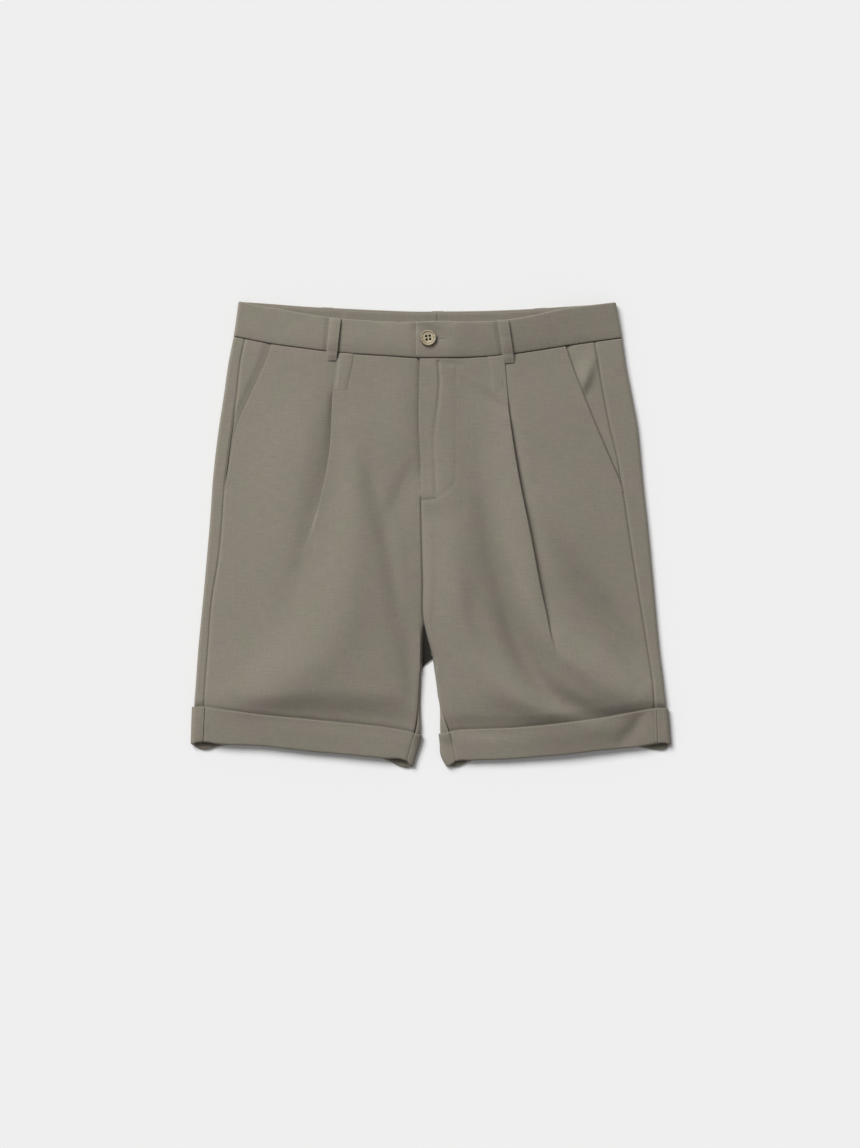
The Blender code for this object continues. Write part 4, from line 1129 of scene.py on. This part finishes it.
def back_loop(x_middle):
    """Outer face of a belt loop under the back waistband."""
    x = x_middle + np.linspace(LOOP_WIDTH / 2, -LOOP_WIDTH / 2, 9)[None, :]
    top = read(BAND_TOP, "back", x)
    y = top + (read(WAIST_SEAM, "back", x) - LOOP_TAIL - top) * np.linspace(0, 1, 26)[:, None]
    return np.stack([x + 0 * y, y, 0 * y], axis=2)


def front_wall(side, grid):
    """Wall of a front panel: thicker at its pocket mouth and at the lap of the fly."""
    x, y = grid[..., 0], grid[..., 1]
    mouth = blend(7, 5, np.abs(outer_edge(side, y) - x)) * blend(POCKET_END_Y - 6, POCKET_END_Y + 2, y)
    lap = blend(7, 5, np.abs(x - of(side, "inseam", y))) * blend(FLY_END_Y - 6, FLY_END_Y + 4, y)
    return CLOTH + (TURNED_EDGE - CLOTH) * np.maximum(mouth, lap)


# -------- making meshes
def place(points):
    """Points of the tables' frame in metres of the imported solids' frame."""
    return (np.asarray(points) - ORIGIN) * MM


def add_object(name, data):
    made = bpy.data.objects.new(name, data)
    bpy.context.scene.collection.objects.link(made)
    return made


def add_mesh(name, points, faces, finish):
    mesh = bpy.data.meshes.new(name)
    mesh.from_pydata(points.tolist(), [], faces)
    mesh.materials.append(finish)
    mesh.shade_smooth()
    mesh.update()
    return add_object(name, mesh)


def add_attribute(piece, name, kind, values):
    made = piece.data.attributes.new(name=name, type=kind, domain="POINT")
    field = "vector" if kind == "FLOAT_VECTOR" else "value"
    made.data.foreach_set(field, np.asarray(values, np.float32).ravel())


def cloth_places(grid):
    """Where each point of a grid lies on the flat cloth: along its rows and down its columns."""
    along = np.linalg.norm(np.diff(grid, axis=1), axis=2)
    along = np.pad(np.cumsum(along, axis=1), ((0, 0), (1, 0)))
    middle = grid.shape[1] // 2
    along = along - along[:, middle : middle + 1] + grid[0, middle, 0]
    down = np.linalg.norm(np.diff(grid, axis=0), axis=2)
    down = np.pad(np.cumsum(down, axis=0), ((1, 0), (0, 0)))
    return np.stack([along, grid[:1, :, 1] - down, np.zeros(along.shape)], axis=2)


def border(rows, columns):
    """Row and column of the points round a grid's edge, anticlockwise seen from outside."""
    down = [(row, 0) for row in range(rows - 1)]
    right = [(rows - 1, column) for column in range(columns - 1)]
    up = [(row, columns - 1) for row in range(rows - 1, 0, -1)]
    left = [(0, column) for column in range(columns - 1, 0, -1)]
    return np.array(down + right + up + left)


def shell(name, grid, wall, finish, tone):
    """A closed thin cloth: outer face through the grid's points, a wall behind it, rounded edges."""
    rows, columns = grid.shape[:2]
    out = normals(grid)
    wall = np.broadcast_to(wall, (rows, columns))[..., None]
    inner = grid - wall * out
    count = rows * columns
    loop = border(rows, columns)
    at = loop[:, 0], loop[:, 1]
    toward = np.clip(loop, 1, [rows - 2, columns - 2])
    away = grid[at] - grid[toward[:, 0], toward[:, 1]]
    away -= (away * out[at]).sum(axis=1, keepdims=True) * out[at]
    away /= np.maximum(np.linalg.norm(away, axis=1, keepdims=True), 1e-9)
    centre = (grid[at] + inner[at]) / 2
    rings = []
    for step in range(1, RIM_STEPS):
        angle = math.pi * step / RIM_STEPS
        rings.append(centre + wall[at] / 2 * (math.cos(angle) * out[at] + math.sin(angle) * away))
    index = np.arange(count).reshape(rows, columns)
    quads = np.stack([index[:-1, :-1], index[1:, :-1], index[1:, 1:], index[:-1, 1:]], axis=2).reshape(-1, 4)
    between = np.arange(2 * count, 2 * count + len(rings) * len(loop)).reshape(len(rings), len(loop))
    hoops = [index[at], *between, index[at] + count]
    rims = []
    for outer, deeper in zip(hoops, hoops[1:]):
        rims.append(np.stack([np.roll(outer, -1), outer, deeper, np.roll(deeper, -1)], axis=1))
    faces = np.concatenate([quads, quads[:, ::-1] + count, *rims])
    points = np.concatenate([grid.reshape(-1, 3), inner.reshape(-1, 3), *rings])
    piece = add_mesh(name, place(points), faces.tolist(), finish)
    flat = cloth_places(grid)
    lifted = [flat[at] + step * 0.3 for step in range(1, RIM_STEPS)]
    weave = np.concatenate([*[flat.reshape(-1, 3)] * 2, *lifted])
    add_attribute(piece, "weave", "FLOAT_VECTOR", weave)
    tone = np.broadcast_to(tone, (rows, columns))
    tone = np.concatenate([*[tone.ravel()] * 2, *[tone[at]] * len(rings)])
    add_attribute(piece, "tone", "FLOAT", tone)
    return piece


# -------- stitches
STITCH_SIDES = 8
STITCH_RINGS = [(-0.5, 0.0), (-0.46, 0.55), (-0.34, 0.9), (0.0, 1.0), (0.34, 0.9), (0.46, 0.55), (0.5, 0.0)]


def sewn(points, surface, pitch, length, width=0.4, across=False):
    """Stitches along a smooth line or across a straight one: x, y, z, direction, length, width."""
    line = np.array(points, float) if across else smooth_line(numbered("x y", *points), 12)
    reach = np.concatenate([[0], np.cumsum(np.hypot(*np.diff(line, axis=0).T))])
    middle = np.arange(pitch / 2, reach[-1], pitch)
    (x, behind_x, ahead_x), (y, behind_y, ahead_y) = (
        [np.interp(middle + step, reach, line[:, axis]) for step in (0, -0.1, 0.1)] for axis in (0, 1)
    )
    direction = np.arctan2(ahead_y - behind_y, ahead_x - behind_x) + across * math.pi / 2
    return [(*stitch, length, width) for stitch in zip(x, y, surface(x, y), direction)]


def stitch_form(length, width, height):
    """One stitch lying along X: rings of points from its back to its front."""
    rings = []
    for along, size in STITCH_RINGS:
        lift = height * 0.5 * (1 - (2 * along) ** 2)
        for number in range(STITCH_SIDES):
            angle = 2 * math.pi * number / STITCH_SIDES
            across = size * width / 2 * math.cos(angle)
            rings.append((along * length, across, size * height / 2 * math.sin(angle) + lift))
    return np.array(rings)


def stitches(name, runs, finish):
    """Runs of stitches as one mesh."""
    points = []
    faces = []
    for x, y, z, direction, length, width in runs:
        along, across, up = stitch_form(length, width, width * 0.7).T
        cos, sin = math.cos(direction), math.sin(direction)
        first = len(points) * len(along)
        stitch = [x + along * cos - across * sin, y + along * sin + across * cos, z + up]
        points.append(np.stack(stitch, axis=1))
        for ring in range(len(STITCH_RINGS) - 1):
            here = first + ring * STITCH_SIDES
            there = here + STITCH_SIDES
            for side in range(STITCH_SIDES):
                after = (side + 1) % STITCH_SIDES
                faces.append([here + side, here + after, there + after, there + side])
    piece = add_mesh(name, place(np.concatenate(points)), faces, finish)
    bm = bmesh.new()
    bm.from_mesh(piece.data)
    bmesh.ops.remove_doubles(bm, verts=bm.verts, dist=0.00001)
    bmesh.ops.recalc_face_normals(bm, faces=bm.faces)
    bm.to_mesh(piece.data)
    bm.free()
    piece.data.shade_smooth()
    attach(piece, "root")


# -------- materials
class Material:
    """A material, with short ways to add and link shader nodes."""

    def __init__(self, name, colour, roughness, specular, sheen=0.0):
        self.made = bpy.data.materials.new(name)
        self.made.use_nodes = True
        self.tree = self.made.node_tree
        self.shader = self.tree.nodes["Principled BSDF"]
        self.shader.inputs["Base Color"].default_value = (*colour, 1)
        self.shader.inputs["Roughness"].default_value = roughness
        self.shader.inputs["Specular IOR Level"].default_value = specular
        self.shader.inputs["Sheen Weight"].default_value = sheen

    def add(self, kind, inputs=None, **settings):
        node = self.tree.nodes.new("ShaderNode" + kind)
        for name, value in settings.items():
            setattr(node, name, value)
        for name, value in (inputs or {}).items():
            self.put(node.inputs[name], value)
        return node

    def put(self, socket, value):
        if isinstance(value, bpy.types.NodeSocket):
            self.tree.links.new(value, socket)
        else:
            socket.default_value = value

    def attribute(self, name, output):
        return self.add("Attribute", attribute_name=name).outputs[output]

    def math(self, operation, first, second):
        return self.add("Math", {0: first, 1: second}, operation=operation).outputs[0]

    def scaled(self, vector, *factors):
        return self.add("VectorMath", {0: vector, 1: factors}, operation="MULTIPLY").outputs[0]

    def noise(self, vector, detail=2.0):
        return self.add("TexNoise", {"Vector": vector, "Scale": 1.0, "Detail": detail}).outputs["Fac"]

    def bands(self, vector, period, direction, distortion):
        """Soft bands across a direction, with a crest every period."""
        inputs = {"Vector": vector, "Scale": 2 * math.pi / (10 * period)}
        inputs.update({"Distortion": distortion, "Detail": 1.0, "Detail Scale": 2.0})
        return self.add("TexWave", inputs, wave_type="BANDS", bands_direction=direction).outputs["Fac"]

    def spread(self, value, low, high):
        """A value that averages a half, moved to lie between low and high."""
        return self.add("MapRange", {"Value": value, "To Min": low, "To Max": high}).outputs[0]

    def product(self, *values):
        total = values[0]
        for value in values[1:]:
            total = self.math("MULTIPLY", total, value)
        return total

    def ramp(self, value, *stops):
        """Colour between two stops, each a position and its colour."""
        node = self.add("ValToRGB", {"Fac": value})
        for element, (position, colour) in zip(node.color_ramp.elements, stops):
            element.position = position
            element.color = (*colour, 1)
        return node.outputs["Color"]

    def tint(self, colour, shade):
        """Base colour that is made darker and lighter by shade."""
        node = self.add("VectorMath", {0: colour, "Scale": shade}, operation="SCALE")
        self.put(self.shader.inputs["Base Color"], node.outputs[0])

    def bump(self, height, strength, distance):
        node = self.add("Bump", {"Height": height, "Strength": strength, "Distance": distance})
        self.put(self.shader.inputs["Normal"], node.outputs[0])


def twill_material():
    """Cotton twill: diagonal ribs, uneven yarns, a faint bloom and a matt nap."""
    cloth = Material("cotton_twill", TWILL_COLOUR, 0.9, 0.2, sheen=0.12)
    cloth.shader.inputs["Sheen Roughness"].default_value = 0.5
    weave = cloth.attribute("weave", "Vector")
    ribs = cloth.bands(cloth.scaled(weave, -1.0, 1.0, 0.0), 0.80, "DIAGONAL", 0.5)
    warp = cloth.bands(weave, 0.42, "X", 1.0)
    weft = cloth.bands(weave, 0.46, "Y", 1.0)
    grain = cloth.noise(cloth.scaled(weave, 0.75, 0.75, 0.0), 3.0)
    clouds = cloth.noise(cloth.scaled(weave, 0.035, 0.028, 0.0))
    shade = cloth.product(
        cloth.spread(cloth.noise(cloth.scaled(weave, 1.1, 0.07, 0.0), 3.0), 0.87, 1.13),
        cloth.spread(cloth.noise(cloth.scaled(weave, 0.06, 1.2, 0.0), 3.0), 0.82, 1.18),
        cloth.spread(grain, 0.80, 1.20),
        cloth.spread(clouds, 0.97, 1.03),
        cloth.spread(ribs, 0.95, 1.05),
        # tone: painted shade in fold valleys, between the legs, inside the hems and at the turn-ups' top
        # edges, and painted light on ridges and side folds
        cloth.attribute("tone", "Fac"),
    )
    cloth.tint(cloth.ramp(clouds, (0.3, WARP_COLOUR), (0.7, WEFT_COLOUR)), shade)
    cloth.put(cloth.shader.inputs["Roughness"], cloth.spread(grain, 0.82, 0.98))
    height = cloth.product(ribs, 0.6)
    for part, weight in ((warp, 0.2), (weft, 0.2), (grain, 0.9)):
        height = cloth.math("ADD", height, cloth.product(part, weight))
    cloth.bump(height, 0.65, 0.00012)
    return cloth.made


def yarn_material(yarn, colour, ribs, light, fuzz_scale, strength, distance):
    """Twisted thread or woven tape: fine ribs, a crest to each period, and a little fuzz."""
    at = yarn.add("TexCoord").outputs["Object"]
    rib = yarn.bands(yarn.scaled(at, 1000.0, 1000.0, 0.0), *ribs)
    fuzz = yarn.noise(yarn.scaled(at, fuzz_scale, fuzz_scale, fuzz_scale))
    yarn.tint(colour, yarn.product(yarn.spread(rib, 0.85, light), yarn.spread(fuzz, 0.9, 1.1)))
    yarn.bump(rib, strength, distance)
    return yarn.made


def thread_material(name, colour):
    """Twisted sewing thread with a slight lustre."""
    thread = Material(name, colour, 0.7, 0.35, sheen=0.1)
    return yarn_material(thread, colour, (0.5, "DIAGONAL", 0.4), 1.1, 2200.0, 0.5, 0.00008)


def tape_material():
    """Woven zip tape."""
    tape = Material("zip_tape_weave", TAPE_COLOUR, 0.85, 0.2)
    return yarn_material(tape, TAPE_COLOUR, (0.7, "Y", 0.3), 1.12, 1500.0, 0.6, 0.0001)


def button_material():
    """Horn-like resin: warm tan, with long soft streaks and a worn satin polish."""
    horn = Material("horn_resin", HORN_COLOUR, 0.55, 0.35)
    at = horn.add("TexCoord").outputs["Object"]
    streaks = horn.noise(horn.scaled(at, 90.0, 420.0, 90.0), 4.0)
    specks = horn.noise(horn.scaled(at, 900.0, 900.0, 900.0))
    colour = horn.ramp(streaks, (0.32, HORN_DARK), (0.68, HORN_PALE))
    # tone carries painted shade in the groove and holes, and darkens the colour towards the outer edge
    horn.tint(colour, horn.product(horn.spread(specks, 0.92, 1.08), horn.attribute("tone", "Fac")))
    horn.put(horn.shader.inputs["Roughness"], horn.spread(specks, 0.46, 0.64))
    horn.bump(streaks, 0.15, 0.0001)
    return horn.made


# -------- button
def button_holes(button):
    """Cutters for the four holes, as modifiers of the button; gives the cutters."""
    cutters = []
    for number in range(4):
        angle = math.pi / 4 + number * math.pi / 2 + BUTTON_TURN
        reach = HOLE_SPACING / math.sqrt(2) * MM
        size = HOLE_DIAMETER / 2 * MM
        bm = bmesh.new()
        bmesh.ops.create_cone(bm, cap_ends=True, segments=28, radius1=size, radius2=size, depth=20 * MM)
        mesh = bpy.data.meshes.new("hole")
        bm.to_mesh(mesh)
        bm.free()
        cutter = add_object(f"hole_{number}", mesh)
        cutter.location = (reach * math.cos(angle), reach * math.sin(angle), (10 + HOLE_FLOOR) * MM)
        button.modifiers.new("hole", "BOOLEAN").object = cutter
        cutters.append(cutter)
    return cutters


def make_button(finish):
    """Four-hole button with a raised rim, a groove inside it and a dished middle."""
    radius = BUTTON_DIAMETER / 2
    top = BUTTON_THICKNESS
    bm = bmesh.new()
    profile = [(share, top - below) for share, below in BUTTON_FACE] + BUTTON_BACK
    points = [bm.verts.new((share * radius * MM, 0, height * MM)) for share, height in profile]
    for start, end in zip(points, points[1:]):
        bm.edges.new((start, end))
    mesh = bpy.data.meshes.new("button")
    bm.to_mesh(mesh)
    bm.free()
    button = add_object("button_horn", mesh)
    turned = button.modifiers.new("turned", "SCREW")
    turned.steps = turned.render_steps = 96
    turned.use_merge_vertices = True
    turned.merge_threshold = 0.00001
    turned.use_normal_calculate = True
    cutters = button_holes(button)
    bpy.context.view_layer.update()
    made = bpy.data.meshes.new_from_object(button.evaluated_get(bpy.context.evaluated_depsgraph_get()))
    button.modifiers.clear()
    button.data = made
    for cutter in cutters:
        bpy.data.objects.remove(cutter)
    made.materials.clear()
    made.materials.append(finish)
    made.shade_smooth()
    made.set_sharp_from_angle(angle=math.radians(SHARP_ANGLE))
    co = np.array([vertex.co for vertex in made.vertices]) / MM
    share = np.hypot(co[:, 0], co[:, 1]) / radius
    # Painted shade in the groove of the face, and colour made darker towards the outer edge.
    groove = np.exp(-(((share - GROOVE_PLACE) / GROOVE_WIDTH) ** 2)) * (co[:, 2] > top / 2)
    tone = 1 - 0.5 * groove - 0.62 * blend(0.84, 0.93, share)
    # Painted shade: the holes' walls and floors are made almost black.
    in_hole = (share < 0.5) & (co[:, 2] > 0.3) & (co[:, 2] < top - 1.2)
    add_attribute(button, "tone", "FLOAT", np.where(in_hole, 0.06, tone))
    x, y = BUTTON_PLACE
    level = float(band_surface("left", np.array([x]), np.array([y]))[0]) + 0.5
    button.location = place([x, y, level]).tolist()
    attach(button, "root")
    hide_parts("button")


# -------- floor and light
def make_floor():
    bpy.ops.mesh.primitive_plane_add(size=60, location=(0, 0, 0))
    floor = bpy.context.object
    floor.name = "floor"
    floor.data.materials.append(Material("pale_floor", (FLOOR_ALBEDO,) * 3, 0.9, 0.0).made)


def aim(lamp, toward):
    """Turn a lamp so that its light comes from the given direction."""
    lamp.rotation_mode = "QUATERNION"
    lamp.rotation_quaternion = Vector(toward).to_track_quat("Z", "Y")


def add_sun(name, energy, softness, toward):
    sun = bpy.data.lights.new(name, "SUN")
    sun.energy = energy
    sun.angle = math.radians(softness)
    lamp = add_object(name, sun)
    aim(lamp, toward)
    return lamp


def light_only(lamp, pieces):
    """Let a lamp shine on some pieces only."""
    lit = bpy.data.collections.new(f"lit_by_{lamp.name}")
    for piece in pieces:
        lit.objects.link(piece)
    lamp.light_linking.receiver_collection = lit


def make_light():
    world = bpy.data.worlds.new("soft_room")
    bpy.context.scene.world = world
    world.use_nodes = True
    background = world.node_tree.nodes["Background"]
    background.inputs["Color"].default_value = (1, 1, 1, 1)
    background.inputs["Strength"].default_value = ROOM_LIGHT
    meshes = [piece for piece in bpy.context.scene.objects if piece.type == "MESH"]
    garment = [piece for piece in meshes if piece.name != "floor"]
    floor = [piece for piece in meshes if piece.name == "floor"]
    light_only(add_sun("key", KEY_LIGHT, KEY_SOFTNESS, KEY_FROM), garment)
    light_only(add_sun("floor_key", FLOOR_KEY_LIGHT, FLOOR_KEY_SOFTNESS, FLOOR_KEY_FROM), floor)
    light = bpy.data.lights.new("side_panel", "AREA")
    light.shape = "SQUARE"
    light.size = SIDE_PANEL_SIZE
    light.energy = SIDE_PANEL_LIGHT
    side_panel = add_object("side_panel", light)
    side_panel.location = SIDE_PANEL_PLACE
    aim(side_panel, SIDE_PANEL_PLACE)
    light_only(side_panel, garment)


def make_camera():
    lens = bpy.data.cameras.new("camera")
    lens.lens = LENS
    lens.sensor_width = SENSOR
    camera = add_object("camera", lens)
    camera.location = (VIEW_CENTRE[0] * MM, VIEW_CENTRE[1] * MM, CAMERA_HEIGHT * MM)
    bpy.context.scene.camera = camera
    bpy.context.scene.view_settings.view_transform = "Standard"


# -------- the garment
def add_cloth(kind, side, grid, wall, finish, tone=1.0):
    """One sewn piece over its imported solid."""
    node, flat, share = CLOTH_PIECES[kind]
    piece = shell(f"{kind}_{side}", grid, wall, finish, tone)
    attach(piece, "root")
    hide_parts(f"{node}_{side}")


def make_panels(side, twill):
    grid = panel(side, FRONT_STRIPS)
    x, y, _ = np.moveaxis(grid, 2, 0)
    add_cloth("front_panel", side, grid, front_wall(side, grid), twill, painted_crease_shade(x, y) * hole_tone(x, y))
    grid = panel(side, BACK_STRIPS, back_layers(), back_layers(at_waist=True))
    x, y, z = np.moveaxis(grid, 2, 0)
    tone = (1 - (1 - hole_tone(x, y)) * blend(0.8, 2.0, z)) * painted_fold_light(side, x, y)
    add_cloth("back_panel", side, grid, CLOTH, twill, tone)


def make_band(side, twill):
    grid = band(side)
    add_cloth("band", side, grid, BAND_WALL, twill, painted_fold_light(side, grid[..., 0], grid[..., 1]))
    add_cloth("band_facing", side, facing(side), FACING_WALL, twill)
    add_cloth("pocket_bearer", side, pocket(side), CLOTH, twill)
    add_cloth("loop_front", side, front_loop(side), LOOP_WALL, twill)


def make_cuffs(side, twill):
    pieces = [("turn_up_front", CUFF_STRIPS, 0), ("turn_up_back", BACK_STRIPS, back_layers())]
    for kind, strips, layer in pieces:
        grid, wall, tone = cuff(side, strips, layer)
        add_cloth(kind, side, grid, wall, twill, tone)


def over_left(x, y):
    return front_surface("left", x, y) - THREAD_SINKS


def over_right(x, y):
    return front_surface("right", x, y) - THREAD_SINKS


def over_band(x, y):
    return band_surface("left", x, y) - THREAD_SINKS


def make_stitching(thread):
    """Two rows of stitches round the fly, its bar tack, and the tacks of the pocket mouths."""
    fly = []
    for aside, above in ((0.0, 0.0), (-1.5, 0.6)):
        fly += sewn([(x + aside, y + above) for x, y in J_STITCH], over_left, 2.6, 1.9, 0.42)
    fly += sewn(FLY_TACK, over_left, 0.8, 1.5, across=True)
    stitches("fly_stitches", fly, thread)
    tacks = []
    for side, surface in (("right", over_right), ("left", over_left)):
        for tack in POCKET_TACKS[side]:
            tacks += sewn(tack, surface, 0.42, 2.2, across=True)
    stitches("pocket_tacks", tacks, thread)


def make_buttonhole(thread):
    """A keyhole buttonhole beside the button: satin stitches round its slit and eye."""
    runs = []
    for y in (HOLE_Y - 0.9, HOLE_Y + 0.9):
        runs += sewn([(HOLE_START, y), (HOLE_END, y)], over_band, 0.42, 1.5, across=True)
    angle = np.linspace(-EYE_TURN, EYE_TURN, EYE_STITCHES)
    x = HOLE_END + 0.5 + EYE_RADIUS * np.cos(angle)
    y = HOLE_Y + EYE_RADIUS * np.sin(angle)
    runs += [(*stitch, 1.7, 0.4) for stitch in zip(x, y, over_band(x, y), angle)]
    stitches("buttonhole", runs, thread)


def main():
    twill = twill_material()
    thread = thread_material("tan_thread", TAN_THREAD)
    for side in OUTWARD:
        make_panels(side, twill)
    for side in OUTWARD:
        make_band(side, twill)
    for name, x in BACK_LOOPS.items():
        add_cloth("loop_back", name, back_loop(x), LOOP_WALL, twill)
    for side in OUTWARD:
        make_cuffs(side, twill)
    make_stitching(thread)
    make_buttonhole(thread_material("pale_thread", PALE_THREAD))
    make_button(button_material())
    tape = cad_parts["zip"]
    tape.data.materials.clear()
    tape.data.materials.append(tape_material())
    make_floor()
    make_light()
    make_camera()


main()
